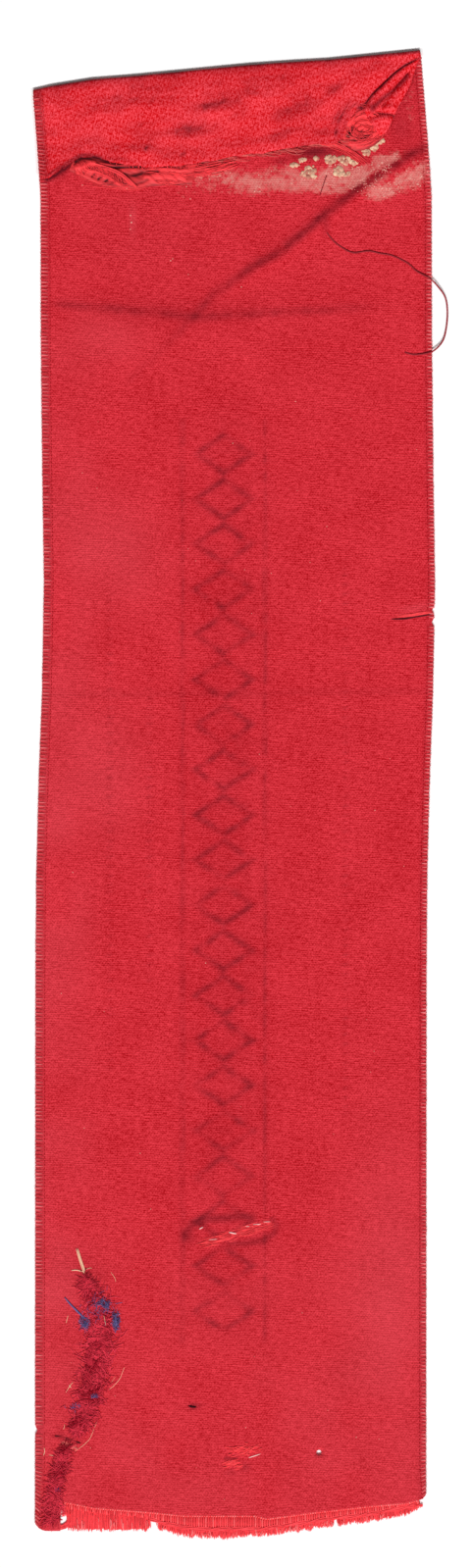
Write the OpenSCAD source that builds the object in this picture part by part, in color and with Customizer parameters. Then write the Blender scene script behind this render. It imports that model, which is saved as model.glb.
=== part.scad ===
// Award ribbon, lying flat with its glued heading folded over towards the viewer. Millimetres.
// X runs across the ribbon, Y runs up to the heading, and Z = 0 is the face that it lies on.

/* [Ribbon cloth] */
// Width of the ribbon over both selvedges
ribbon_w = 50.8; // [47:0.1:56]
// Length that shows, from the fringe tips to the high corner of the fold
ribbon_l = 192.8; // [180:0.1:215]
// Thickness of the woven cloth
cloth_t = 0.30; // [0.24:0.01:0.38]
// Width of each corded selvedge
selvedge_w = 0.9; // [0.6:0.05:1.2]
// Thickness of each corded selvedge
selvedge_t = 0.42; // [0.38:0.01:0.48]

/* [Heading] */
// Slant of the fold line across the ribbon, in degrees
fold_slant = 5.9; // [3:0.1:8]
// Depth of the heading from the fold to its torn edge
heading_depth = 11.6; // [10:0.1:15]
// Gap between the heading and the cloth under it, filled by the glue
heading_gap = 0.20; // [0.16:0.01:0.4]
// Lean of the heading's finished edge away from square to the fold, in degrees
flap_lean = 4.6; // [0:0.1:6]

/* [Torn corner] */
// Distance of the inner end of the lifting pleat from the right end of the fold
pleat_run = 8.5; // [7.5:0.1:10]
// Depth of that inner end below the fold
pleat_drop = 6.9; // [6:0.1:8]
// Widest part of the loose corner, square to the pleat
corner_w = 4.4; // [3.6:0.1:4.8]
// Radius of the curl of torn threads beside the corner
tuft_r = 1.9; // [1.5:0.1:2.1]
// Distance of the curl's middle from the right end of the fold
tuft_run = 9.5; // [9.3:0.1:12]
// How far the curl's middle lies inside the heading's depth
tuft_back = 2.4; // [2:0.1:3]

/* [Folds] */
// Distance of the middle crease below the high corner of the fold
crease_drop = 83.3; // [70:0.1:100]
// Clearance between two pieces that fold against each other
crease_gap = 0.10; // [0.06:0.01:0.2]

/* [Cut end] */
// Height of the hem's first row above the fringe tips, at mid width
fringe_l = 2.8; // [2.4:0.1:4]
// Rise of the curved cut from mid width to the edges
hem_sag = 2.5; // [1.5:0.1:3]
// Width of the hem's woven row beside the open fringe
hem_row_w = 0.6; // [0.4:0.05:0.9]
// Thickness of the weft cord that the last weft threads are packed into
weft_cord_d = 0.44; // [0.3:0.01:0.5]
// Height of the weft cord above the fringe tips, at mid width
weft_cord_h = 1.3; // [1.15:0.05:1.5]
// Rise of the weft cord's curve from mid width to the edges
weft_cord_sag = 3.3; // [3:0.05:3.5]
// Spacing of the fringe tufts
tuft_pitch = 0.72; // [0.5:0.02:1.2]
// Thickness of the open fringe
fringe_t = 0.24; // [0.15:0.01:0.3]

/* [Remains stuck to the cloth] */
// Thickness of the felt scrap
felt_t = 0.5; // [0.3:0.05:1]
// Thickness of the old glue's skin where it lies open
glue_skin_t = 0.05; // [0.03:0.01:0.1]
// Height of the glue flakes above that skin
flake_h = 0.35; // [0.2:0.01:0.6]
// Diameter of the loose sewing thread
thread_d = 0.26; // [0.2:0.02:0.26]
// Diameter of the pinhole
pinhole_d = 0.45; // [0.3:0.05:0.8]

/* [Hidden] */
$fn = 48;

// Flush pieces that curve past each other keep this far apart
seat_gap = 0.02;

half_w = ribbon_w / 2;
panel_half = half_w - selvedge_w;
top_y = ribbon_l / 2;
bottom_y = -ribbon_l / 2;
crease_y = top_y - crease_drop;
upper_low = crease_y + crease_gap / 2;
upper_high = top_y + 1;
lower_low = bottom_y;
lower_high = crease_y - crease_gap / 2;
strip_steps = 24;

// How far the centre line bows sideways, by distance below the high corner
bow = [
    [0, -1.2], [3, -0.95], [6, -0.7], [12, -0.2], [19, 0.25], [38, 0.3], [56, 0.5],
    [69, 0.7], [83, 0.45], [95, 0], [107, -0.3], [120, -0.4], [184, -0.45]
];
function bow_at(y) = lookup(top_y - y, bow);

// The bend at the head is half a tube: its outside takes the cloth from one face to the other
bend_r = cloth_t + heading_gap / 2;
flap_z = cloth_t + heading_gap;
flap_top = flap_z + cloth_t;
fold_y = top_y - ribbon_w * tan(fold_slant);
fold_x = bow_at(fold_y) - half_w;
fold_len = (bow_at(top_y) + half_w - fold_x) / cos(fold_slant);

// Along the fold, X runs right from its low corner and depth is measured square to it
tuft_s = fold_len - tuft_run;
tuft_depth = heading_depth - tuft_back;
function flap_edge(depth) = depth * tan(flap_lean);
finished_end = 0.5;
torn_start = flap_edge(heading_depth) + selvedge_w;
torn_run = tuft_s - tuft_r - torn_start;
// The torn edge: share of the run from the selvedge to the tuft, and how far it falls short
torn_edge = [
    [0, finished_end], [0.05, 1.6], [0.09, 2.4], [0.13, 2.1], [0.20, 1.2], [0.27, 0.5], [0.41, -0.2],
    [0.52, 0.1], [0.56, -0.2], [0.61, 0.1], [0.76, 0.1], [0.80, 0.4], [0.89, 0.6], [1, 0.7]
];
torn_points = [for (p = torn_edge) [torn_start + p[0] * torn_run, p[1] - heading_depth]];
// How far the loose floss at the left hangs past the heading's depth, by the same share
floss_hang = [[0, 0.3], [0.03, 0.7], [0.11, 1.3], [0.18, 1.8], [0.26, 2.3], [0.34, 2.5], [0.45, 2.1]];
floss_count = 8;
// Where its strands begin and end, off the points they start from
floss_shifts = [[-0.4, 0.5], [0.8, 0.9], [-0.2, -0.3], [1.4, 0.6]];
floss_strand_w = 0.7;
floss_t = 0.25;
strand_t = 0.22;

// The pleat that the loose corner lifts on
pleat_end_run = 0.85;
pleat_end_drop = 1.35;
pleat_start = [fold_len - pleat_run, -pleat_drop];
pleat_end = [fold_len - pleat_end_run, -pleat_end_drop];
pleat_angle = atan2(pleat_end[1] - pleat_start[1], pleat_end[0] - pleat_start[0]);
pleat_len = norm(pleat_end - pleat_start);
// The corner's outline: share of the pleat's length, and share of the corner's width below it
corner_outline = [
    [0.01, 0], [0.99, 0], [0.95, 0.08], [0.72, 0.41], [0.51, 0.56],
    [0.30, 0.75], [0.15, 0.91], [0.01, 1], [0.03, 0.24]
];
pleat_thick_r = 0.45;
pleat_thin_r = 0.16;

// The cut end
hem_mid = bow_at(bottom_y);
hem_low = bottom_y + fringe_l;
left_patch_w = 3.15;
left_patch_rise = 1.0;
left_patch_r = 1.7;
right_corner_r = 1.3;
right_corner_reach = 1.0;
right_corner_rise = fringe_l + hem_sag - right_corner_reach;
hem_left = hem_mid - half_w + left_patch_w;
hem_right = hem_mid + panel_half;
cord_left_run = 14.7;
cord_right_run = 0.5;
cord_left = hem_mid - half_w + cord_left_run;
cord_right = hem_right - cord_right_run;
cord_bow_r = (half_w * half_w + weft_cord_sag * weft_cord_sag) / (2 * weft_cord_sag);
cord_centre_y = bottom_y + weft_cord_h + cord_bow_r;
function hem_row_y(x) = hem_low + hem_sag * pow((x - hem_mid) / half_w, 2);
function cord_arc_y(x, r) = cord_centre_y - sqrt(r * r - pow(x - hem_mid, 2));
function hem_bottom_y(x) = x < cord_left ? hem_row_y(x) - hem_row_w
    : cord_arc_y(x, cord_bow_r - weft_cord_d / 2 - seat_gap);
function fringe_top_y(x) = x < cord_left ? hem_row_y(x) - hem_row_w
    : cord_arc_y(x, cord_bow_r + weft_cord_d / 2 + seat_gap);
tip_unevenness = 0.2;
hem_steps = 26;
tip_mid = 25.4;
// Height of the fringe tips above the lowest one, by distance from the left edge
tip_line = [
    [2.8, 1.0], [12.8, 0.9], [17.8, 0.6], [21.8, 0.1], [25.8, 0],
    [30.8, 0.4], [37.8, 1.1], [45.5, 2.3], [49.8, 3.3]
];
// Past mid width the tips follow the right-hand edge
function tip_place(x) = x < hem_mid ? x - hem_left + left_patch_w : x - hem_mid + tip_mid;
function tip_y(x) = bottom_y + lookup(tip_place(x), tip_line);

// The felt scrap's middle line: from the left edge, above the fringe tips, and width
felt_path = [
    [6.8, 33.2, 1.2], [7.6, 30.4, 3.0], [8.4, 27.8, 4.3], [8.1, 22.1, 4.1],
    [6.9, 17.6, 3.8], [6.4, 15.6, 3.6], [5.0, 13.9, 2.4], [4.2, 11.9, 1.7],
    [3.4, 8.5, 1.5], [2.4, 5.0, 1.3], [2.2, 3.3, 1.6], [2.2, 1.9, 1.2]
];
felt_crown_share = 0.6;
felt_crown_t = 0.25;
felt_top = cloth_t + felt_t;

// Route of the loose thread, from where it leaves the cloth to its broken end
thread_route = [
    [11.4, 74.3, 0.43], [11.6, 73.4, 0.43], [12.7, 71.8, 0.43], [13.9, 70.8, 0.43], [15.4, 70.1, 0.43],
    [17.4, 70.3, 0.43], [18.9, 70.0, 0.43], [20.5, 69.7, 0.43], [22.5, 68.7, 0.45], [23.6, 67.7, 0.52],
    [25.4, 66.7, 0.60], [26.4, 65.7, 0.46], [27.3, 64.4, 0.22], [27.6, 62.8, 0.14], [27.5, 60.7, 0.14],
    [27.0, 58.7, 0.32], [25.8, 57.4, 0.59], [24.6, 57.0, 0.58], [23.2, 56.9, 0.46], [22.1, 57.2, 0.43]
];
thread_sides = 8;

satin_red = [0.85, 0.20, 0.24];
back_red = [0.80, 0.17, 0.22];
edge_red = [0.86, 0.36, 0.38];
floss_red = [0.93, 0.24, 0.27];
felt_red = [0.62, 0.12, 0.18];

// Points given from the left edge and above the fringe tips
function low_point(across, up) = [bow_at(bottom_y + up) - half_w + across, bottom_y + up];

// Strip of the ribbon between two offsets from its bowed centre line
module strip(from, to, y_low, y_high) {
    rows = [for (i = [0:strip_steps]) y_low + (y_high - y_low) * i / strip_steps];
    left_side = [for (y = rows) [bow_at(y) + from, y]];
    right_side = [for (i = [strip_steps:-1:0]) [bow_at(rows[i]) + to, rows[i]]];
    polygon(concat(left_side, right_side));
}

// Places children along the fold line: X along it, Y up out of the heading
module on_fold() {
    translate([fold_x, fold_y, 0]) rotate(fold_slant) children();
}

// Places children along the lifting pleat: X along it, Y towards the fold
module on_pleat() {
    on_fold() translate(pleat_start) rotate(pleat_angle) children();
}

// All of the plan that lies below the start of the bend
module below_bend() {
    on_fold() translate([-half_w, -ribbon_l]) square([2 * ribbon_w, ribbon_l - bend_r]);
}

// A nick torn into an edge; side is -1 at the left and 1 at the right
module edge_nick(y, side, depth) {
    reach = 1;
    mouth = 0.3;
    tip = [-side * depth, 0];
    translate([bow_at(y) + side * half_w, y]) polygon([[side * reach, mouth], tip, [side * reach, -mouth]]);
}

// A drawn-out strand: a long flat lens from one point to another, in plan, pointed at both ends
module lens(start, end, width) {
    point_share = 0.3;
    run = end - start;
    half = [-run[1], run[0]] / norm(run) * width / 2;
    wide_from = start + run * point_share;
    wide_to = end - run * point_share;
    polygon([start, wide_from - half, wide_to - half, end, wide_to + half, wide_from + half]);
}

// A crumb: an uneven low prism
module crumb(at, size, height, sides = 7) {
    translate(at) rotate(size * 100) cylinder(h = height, r = size, $fn = sides);
}

module upper_panel() {
    color(back_red) linear_extrude(cloth_t) intersection() {
        strip(-panel_half, panel_half, upper_low, upper_high);
        below_bend();
    }
}

module upper_left_selvedge() {
    color(edge_red) linear_extrude(selvedge_t) intersection() {
        strip(-half_w, -panel_half, upper_low, upper_high);
        below_bend();
    }
}

// The tear in the right edge shows as two nicks with a drawn weft thread between them
tear_drop = 73.2;
tear_y = top_y - tear_drop;
tear_nick_depth = 0.5;
tear_spread = 0.75;
module upper_right_selvedge() {
    color(edge_red) linear_extrude(selvedge_t) difference() {
        intersection() {
            strip(panel_half, half_w, upper_low, upper_high);
            below_bend();
        }
        edge_nick(tear_y + tear_spread, 1, tear_nick_depth);
        edge_nick(tear_y - tear_spread, 1, tear_nick_depth);
    }
}

module pulled_weft() {
    weft_len = 4.4;
    weft_rise = 0.5;
    weft_w = 0.5;
    outer_end = [bow_at(tear_y) + panel_half - seat_gap, tear_y];
    color(floss_red) translate([0, 0, cloth_t]) linear_extrude(strand_t)
        lens(outer_end - [weft_len, weft_rise], outer_end, weft_w);
}

module bend_profile() {
    intersection() {
        translate([-bend_r, bend_r]) difference() {
            circle(bend_r);
            circle(heading_gap / 2);
        }
        translate([-bend_r, 0]) square([bend_r, 2 * bend_r]);
    }
}

module heading_fold() {
    color(satin_red) intersection() {
        on_fold() translate([-half_w, 0, 0]) rotate([90, 0, 90]) linear_extrude(2 * ribbon_w) bend_profile();
        linear_extrude(2 * bend_r) strip(-half_w, half_w, upper_low, upper_high);
    }
}

module heading_flap() {
    inner_top = [flap_edge(bend_r) + selvedge_w, -bend_r];
    right_side = [[tuft_s, -tuft_depth], pleat_start, pleat_end, [fold_len, -bend_r]];
    color(satin_red) on_fold() translate([0, 0, flap_z]) linear_extrude(cloth_t) difference() {
        polygon(concat([inner_top], torn_points, right_side));
        translate([tuft_s, -tuft_depth]) circle(tuft_r + seat_gap);
    }
}

module heading_selvedge() {
    top_left = [flap_edge(bend_r), -bend_r];
    bottom_left = [flap_edge(heading_depth), -heading_depth];
    inward = [selvedge_w, 0];
    color(edge_red) on_fold() translate([0, 0, flap_z]) linear_extrude(selvedge_t)
        polygon([top_left, bottom_left, torn_points[0], top_left + inward]);
}

// Loose warp threads that spill from the torn edge, as a thin mat with twisted strands over it
module left_torn_floss() {
    hang_points = [for (p = floss_hang) [torn_start + p[0] * torn_run, -heading_depth - p[1]]];
    upper_edge = [for (i = [floss_count - 1:-1:0]) torn_points[i]];
    color(floss_red) on_fold() {
        translate([0, 0, cloth_t]) linear_extrude(floss_t) polygon(concat(hang_points, upper_edge));
        translate([0, 0, cloth_t + floss_t]) linear_extrude(strand_t) for (i = [1:5]) {
            lens(hang_points[i] + floss_shifts[0], hang_points[i + 1] + floss_shifts[1], floss_strand_w);
            lens(torn_points[i + 1] + floss_shifts[2], hang_points[i] + floss_shifts[3], floss_strand_w / 2);
        }
    }
}

// The curl of torn threads at the right: two coiled rolls, one inside the other
module right_torn_floss() {
    outer_roll_r = 0.45;
    inner_roll_r = 0.35;
    base_z = cloth_t + glue_skin_t;
    color(floss_red) on_fold() translate([tuft_s, -tuft_depth, base_z]) {
        translate([0, 0, outer_roll_r]) rotate(40) rotate_extrude(angle = 300)
            translate([tuft_r - outer_roll_r, 0]) circle(outer_roll_r);
        translate([0, 0, inner_roll_r]) rotate(200) rotate_extrude(angle = 280)
            translate([tuft_r - 2.6 * outer_roll_r, 0]) circle(inner_roll_r);
    }
}

// Old glue: it fills the gap under the heading and shows as a thin skin below the torn edge
module glue_film() {
    head_margin = 2.5;
    edge_margin = 0.3;
    film_edge = [for (i = [3:len(torn_points) - 1]) torn_points[i] + [-edge_margin, edge_margin]];
    film_top = [[film_edge[len(film_edge) - 1][0], -head_margin], [film_edge[0][0], -head_margin]];
    skin = [
        [-29.2, 0], [-25.9, 3.7], [-18.4, 5.5], [-12, 5.6], [-6.8, 5.0],
        [-1.8, 5.6], [-1.8, 1.9], [-6.6, 1.0], [-12, -1.6], [-20, -1.6]
    ];
    color([0.85, 0.62, 0.58]) on_fold() translate([0, 0, cloth_t]) {
        linear_extrude(heading_gap) polygon(concat(film_edge, film_top));
        linear_extrude(glue_skin_t) polygon([for (p = skin) [fold_len + p[0], -heading_depth - p[1]]]);
    }
}

// Cream flakes of the glue: from the right end of the fold, past the heading's depth, and size
flakes = [
    [-9.2, 0.6, 0.55], [-7.2, 0.4, 0.62], [-8.2, 1.5, 0.50], [-13.6, 1.3, 0.72], [-11.7, 1.6, 0.66],
    [-10.5, 2.2, 0.50], [-16.2, 2.5, 0.75], [-15.0, 3.6, 0.45], [-12.3, 3.3, 0.60], [-3.2, 2.7, 0.50]
];
module glue_flakes() {
    color([0.87, 0.76, 0.62]) on_fold() for (f = flakes)
        crumb([fold_len + f[0], -heading_depth - f[1], cloth_t + glue_skin_t], f[2], flake_h);
}

// The loose thread is swept along a smooth curve through its route
function route_point(i) = thread_route[max(0, min(len(thread_route) - 1, i))];
function curve_point(i, t) =
    let (a = route_point(i - 1), b = route_point(i), c = route_point(i + 1), d = route_point(i + 2))
    0.5 * (2 * b + (c - a) * t + (2 * a - 5 * b + 4 * c - d) * t * t + (3 * b - a - 3 * c + d) * t * t * t);
thread_points = [
    for (i = [0:len(thread_route) - 2], t = [0, 0.5]) curve_point(i, t),
    route_point(len(thread_route) - 1)
];
function thread_run(i) = thread_points[min(i + 1, len(thread_points) - 1)] - thread_points[max(i - 1, 0)];
function unit(v) = v / norm(v);
function thread_ring(i) =
    let (run = unit(thread_run(i)), side = unit(cross(run, [0, 0, 1])), up = cross(side, run))
    [for (k = [0:thread_sides - 1]) let (a = 360 * (k + 0.5) / thread_sides)
        thread_points[i] + thread_d / 2 * (cos(a) * side + sin(a) * up)];
module loose_thread() {
    n = thread_sides;
    last = len(thread_points) - 1;
    points = [for (i = [0:last]) each thread_ring(i)];
    walls = [for (i = [0:last - 1], k = [0:n - 1]) each [
        [i * n + k, i * n + (k + 1) % n, (i + 1) * n + k],
        [i * n + (k + 1) % n, (i + 1) * n + (k + 1) % n, (i + 1) * n + k]
    ]];
    start_cap = [for (k = [1:n - 2]) [0, k + 1, k]];
    end_cap = [for (k = [1:n - 2]) [last * n, last * n + k, last * n + k + 1]];
    color([0.45, 0.08, 0.12]) polyhedron(points, concat(walls, start_cap, end_cap));
}

// The loose corner of the heading, with two pleats rolled into it that taper out to its point
module torn_corner() {
    first_pleat = [0.06 * pleat_len, -crease_gap - 1.35 * pleat_thick_r, pleat_thick_r];
    second_pleat = [0.1 * pleat_len, -crease_gap - 0.45 * corner_w, pleat_thick_r];
    second_turn = 20;
    color(satin_red) on_pleat() translate([0, 0, flap_z]) {
        linear_extrude(cloth_t)
            polygon([for (p = corner_outline) [p[0] * pleat_len, -crease_gap - p[1] * corner_w]]);
        translate(first_pleat) rotate([0, 90, 0])
            cylinder(h = 0.6 * pleat_len, r1 = pleat_thick_r, r2 = pleat_thin_r);
        translate(second_pleat) rotate([0, 90, -second_turn])
            cylinder(h = 0.24 * pleat_len, r1 = pleat_thick_r, r2 = pleat_thin_r);
    }
}

// Limits of the lower half in plan, with its two rounded corners
module lower_blank() {
    left = hem_mid - half_w;
    right = hem_mid + half_w;
    left_y = bottom_y + left_patch_rise + left_patch_r;
    right_y = bottom_y + right_corner_rise + right_corner_r;
    turn = 15;
    left_centre = [left + left_patch_r, left_y];
    right_centre = [right - right_corner_r, right_y];
    side_y = bottom_y + ribbon_w / 4;
    polygon([
        for (a = [180:turn:270]) left_centre + left_patch_r * [cos(a), sin(a)],
        [hem_mid, bottom_y - fringe_l],
        for (a = [270:turn:360]) right_centre + right_corner_r * [cos(a), sin(a)],
        [right, side_y], [right + ribbon_w, crease_y], [left - ribbon_w, crease_y], [left, side_y]
    ]);
}

function spaced(from, to, steps) = [for (i = [0:steps]) from + (to - from) * i / steps];
hem_row_points = [for (x = spaced(hem_left, hem_right, hem_steps)) [x, hem_row_y(x)]];

module below_hem_row() {
    polygon(concat(hem_row_points, [[hem_right, bottom_y - fringe_l], [hem_left, bottom_y - fringe_l]]));
}

pinhole_place = [36.85, 11.2];
pinhole_at = low_point(pinhole_place[0], pinhole_place[1]);
module lower_panel() {
    color(back_red) linear_extrude(cloth_t) difference() {
        intersection() {
            strip(-panel_half, panel_half, lower_low, lower_high);
            lower_blank();
        }
        below_hem_row();
        translate(pinhole_at) circle(d = pinhole_d);
    }
}

left_nick_rise = 14.1;
left_nick_y = bottom_y + left_nick_rise;
left_nick_depth = 0.35;
module lower_left_selvedge() {
    color(edge_red) linear_extrude(selvedge_t) difference() {
        intersection() {
            strip(-half_w, -panel_half, lower_low, lower_high);
            lower_blank();
        }
        edge_nick(left_nick_y, -1, left_nick_depth);
    }
}

module lower_right_selvedge() {
    color(edge_red) linear_extrude(selvedge_t) intersection() {
        strip(panel_half, half_w, lower_low, lower_high);
        lower_blank();
    }
}

// The packed weft rows above the fringe
module hem_band() {
    low_left = [for (p = hem_row_points) if (p[0] < cord_left) [p[0], hem_bottom_y(p[0])]];
    low_right = [for (p = hem_row_points) if (p[0] > cord_left) [p[0], hem_bottom_y(p[0])]];
    step = [[cord_left, hem_row_y(cord_left) - hem_row_w], [cord_left, hem_bottom_y(cord_left)]];
    low_line = concat(low_left, step, low_right);
    last = len(low_line) - 1;
    color(floss_red) linear_extrude(cloth_t) intersection() {
        polygon(concat(hem_row_points, [for (i = [last:-1:0]) low_line[i]]));
        lower_blank();
    }
}

// The last weft threads, packed into a cord that curves along the cut
module weft_cord() {
    from = asin((cord_left - hem_mid + seat_gap) / cord_bow_r);
    to = asin((cord_right - hem_mid) / cord_bow_r);
    color(floss_red) translate([hem_mid, cord_centre_y, weft_cord_d / 2])
        rotate(270 + from) rotate_extrude(angle = to - from, $fn = 360)
            translate([cord_bow_r, 0]) circle(weft_cord_d / 2, $fn = 32);
}

// Warp ends left open below the hem, in uneven tufts that follow the tip line
module warp_fringe() {
    span = cord_right - hem_left;
    count = floor(span / tuft_pitch);
    pitch = span / count;
    chance = rands(0, 1, 3 * count + 3, 7);
    half_tip = 0.22 * pitch;
    top_left = [for (x = spaced(hem_left, cord_left, hem_steps)) [x, hem_row_y(x) - hem_row_w]];
    top_right = [for (x = spaced(cord_left, cord_right, 2 * hem_steps)) [x, fringe_top_y(x)]];
    tufts = [for (i = [count - 1:-1:0]) let (
            x = hem_left + i * pitch,
            tip_x = x + pitch * (0.35 + 0.3 * chance[3 * i]),
            tip = tip_y(tip_x) + tip_unevenness * chance[3 * i + 1],
            root_share = 0.35 + 0.4 * chance[3 * i + 2],
            root = fringe_top_y(x) + (tip_y(x) - fringe_top_y(x)) * root_share,
            inner_end = i > 0 ? [[tip_x - half_tip, tip], [x, root]] : [[x, tip]])
        each concat([[tip_x + half_tip, tip]], inner_end)];
    color(floss_red) linear_extrude(fringe_t) polygon(concat(top_left, top_right, tufts));
}

// Outline of the felt scrap's path, at a share of its width
module felt_outline(share) {
    n = len(felt_path);
    middle = [for (p = felt_path) low_point(p[0], p[1])];
    runs = [for (i = [0:n - 1]) unit(middle[min(i + 1, n - 1)] - middle[max(i - 1, 0)])];
    half = [for (i = [0:n - 1]) [-runs[i][1], runs[i][0]] * felt_path[i][2] / 2 * share];
    polygon(concat(middle + half, [for (i = [n - 1:-1:0]) middle[i] - half[i]]));
}

module felt_scrap() {
    color(felt_red) translate([0, 0, cloth_t]) {
        linear_extrude(felt_t) felt_outline(1);
        linear_extrude(felt_t + felt_crown_t) felt_outline(felt_crown_share);
    }
}

// Blue lint: a stiff stick on the cloth, a tuft beside the felt, and crumbs on the felt's rim
lint_stick = [[4.0, 31.1], [5.9, 29.3]];
lint_stick_w = 0.32;
lint_tuft = [11.2, 27.9, 0.52];
lint_crumbs = [[6.5, 28.1, 0.40], [9.25, 29.6, 0.34], [5.25, 17.2, 0.28]];
function low_place(place, z) = concat(low_point(place[0], place[1]), z);
module blue_lint() {
    stick = [for (p = lint_stick) low_point(p[0], p[1])];
    color([0.35, 0.36, 0.60]) {
        translate([0, 0, cloth_t]) linear_extrude(strand_t) lens(stick[0], stick[1], lint_stick_w);
        crumb(low_place(lint_tuft, cloth_t), lint_tuft[2], felt_t);
        for (c = lint_crumbs) crumb(low_place(c, felt_top), c[2], felt_crown_t);
    }
}

// Straw fibres: from the left edge and above the fringe tips at both ends, and width
straws = [
    [5.45, 37.6, 6.45, 34.4, 0.38], [4.85, 34.8, 6.3, 34.6, 0.16], [4.95, 20.2, 4.05, 18.9, 0.16],
    [12.05, 22.9, 9.8, 19.4, 0.14], [7.75, 14.5, 6.65, 12.3, 0.14], [6.6, 12.2, 5.15, 10.9, 0.14],
    [1.6, 10.9, 2.8, 10.5, 0.14]
];
module straw_fibres() {
    color([0.90, 0.72, 0.50]) translate([0, 0, cloth_t]) linear_extrude(strand_t)
        for (s = straws) lens(low_point(s[0], s[1]), low_point(s[2], s[3]), s[4]);
}

// A snag: weft floats pulled up out of the weave, side by side
module snag(start, end, count, spread, width) {
    stagger = 0.11;
    run = end - start;
    sideways = [-run[1], run[0]] / norm(run);
    for (i = [0:count - 1]) {
        shift = sideways * spread * (i - (count - 1) / 2);
        lens(start + shift + run * stagger * (i % 3), end + shift - run * stagger * ((i + 1) % 3), width);
    }
}

// Both snags: from the left edge and above the fringe tips, at the left and the right end
upper_snag_ends = [20.8, 37.6, 30.1, 41.2];
lower_snag_ends = [24.4, 9.4, 29.3, 11.6];
module upper_snag() {
    color(floss_red) translate([0, 0, cloth_t]) linear_extrude(strand_t)
        snag(low_point(upper_snag_ends[0], upper_snag_ends[1]),
            low_point(upper_snag_ends[2], upper_snag_ends[3]), 5, 0.34, 0.4);
}

module lower_snag() {
    color(floss_red) translate([0, 0, cloth_t]) linear_extrude(strand_t)
        snag(low_point(lower_snag_ends[0], lower_snag_ends[1]),
            low_point(lower_snag_ends[2], lower_snag_ends[3]), 4, 0.5, 0.6);
}

upper_panel();
upper_left_selvedge();
upper_right_selvedge();
pulled_weft();
heading_fold();
heading_flap();
heading_selvedge();
left_torn_floss();
right_torn_floss();
glue_film();
glue_flakes();
loose_thread();
torn_corner();
lower_panel();
lower_left_selvedge();
lower_right_selvedge();
hem_band();
weft_cord();
warp_fringe();
felt_scrap();
blue_lint();
straw_fibres();
upper_snag();
lower_snag();
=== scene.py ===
import math

import bmesh
import bpy
import numpy as np
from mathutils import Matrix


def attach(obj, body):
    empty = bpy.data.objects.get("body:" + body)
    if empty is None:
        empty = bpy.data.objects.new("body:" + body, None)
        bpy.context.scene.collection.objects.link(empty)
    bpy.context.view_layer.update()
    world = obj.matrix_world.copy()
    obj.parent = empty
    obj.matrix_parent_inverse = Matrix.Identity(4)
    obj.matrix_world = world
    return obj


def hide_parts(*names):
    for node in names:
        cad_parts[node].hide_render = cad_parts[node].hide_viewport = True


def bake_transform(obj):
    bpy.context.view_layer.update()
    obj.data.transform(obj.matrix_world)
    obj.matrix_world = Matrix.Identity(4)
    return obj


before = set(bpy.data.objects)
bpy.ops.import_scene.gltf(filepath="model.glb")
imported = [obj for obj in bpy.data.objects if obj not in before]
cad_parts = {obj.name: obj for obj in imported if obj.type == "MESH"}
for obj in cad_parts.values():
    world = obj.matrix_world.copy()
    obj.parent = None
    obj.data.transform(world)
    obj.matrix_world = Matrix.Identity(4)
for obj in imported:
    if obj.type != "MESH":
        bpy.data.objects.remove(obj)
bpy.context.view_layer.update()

# Sizes are millimetres in the part's own frame, and lists of points are pixels of the photograph,
# unless a comment says otherwise
MM = 0.001
PX = 0.127  # one pixel of the photograph
MID_PX, MID_PY = 238.5, 810.0  # the pixel that lies over the origin
PHOTO_W, PHOTO_H = 481, 1599
rng = np.random.default_rng(11)

TOP_Y, BOTTOM_Y = 96.4, -96.4
CLOTH_T = 0.30
CREASE_Y, CREASE_Z = 13.1, 0.45
FOLD = np.array([-26.1625, 91.1503])  # left end of the heading's fold line
SLANT = math.radians(5.9)  # of the fold line
AWAY = np.array([-math.sin(SLANT), math.cos(SLANT)])
BEND_R = 0.4  # outside of the bend
BEND_MID_R = 0.25  # middle of the bent cloth
# Distance below the top, and how far the ribbon's middle lies to the right there
BOW = np.array([
    [0, -1.2], [3, -0.95], [6, -0.7], [12, -0.2], [19, 0.25], [38, 0.3], [56, 0.5],
    [69, 0.7], [83, 0.45], [95, 0], [107, -0.3], [120, -0.4], [184, -0.45],
])


def spot(px, py):
    """The place in the frame under a pixel of the photograph."""
    return np.array([(px - MID_PX) * PX, (MID_PY - py) * PX])


def at(px, py, z):
    """A point over a pixel, at a height."""
    return (*spot(px, py), z)


def route(points):
    return np.array([spot(*p) for p in points])


def level(line, x):
    """The y of a line of points at x."""
    line = np.asarray(line, float)
    return np.interp(x, line[:, 0], line[:, 1])


def bow(y):
    return level(BOW, TOP_Y - y)


def smooth(x, low, high):
    t = np.clip((x - low) / (high - low), 0, 1)
    return t * t * (3 - 2 * t)


def between(x, start, full, fading, end):
    """1 from full to fading, and 0 before start and after end."""
    return smooth(x, start, full) * (1 - smooth(x, fading, end))


def bell(x, width):
    return np.exp(-(x / width) ** 2)


def ridge(d, soft, width):
    """The profile of a crease, by distance from its line."""
    return np.exp(-np.sqrt(d * d + soft) / width)


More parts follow.
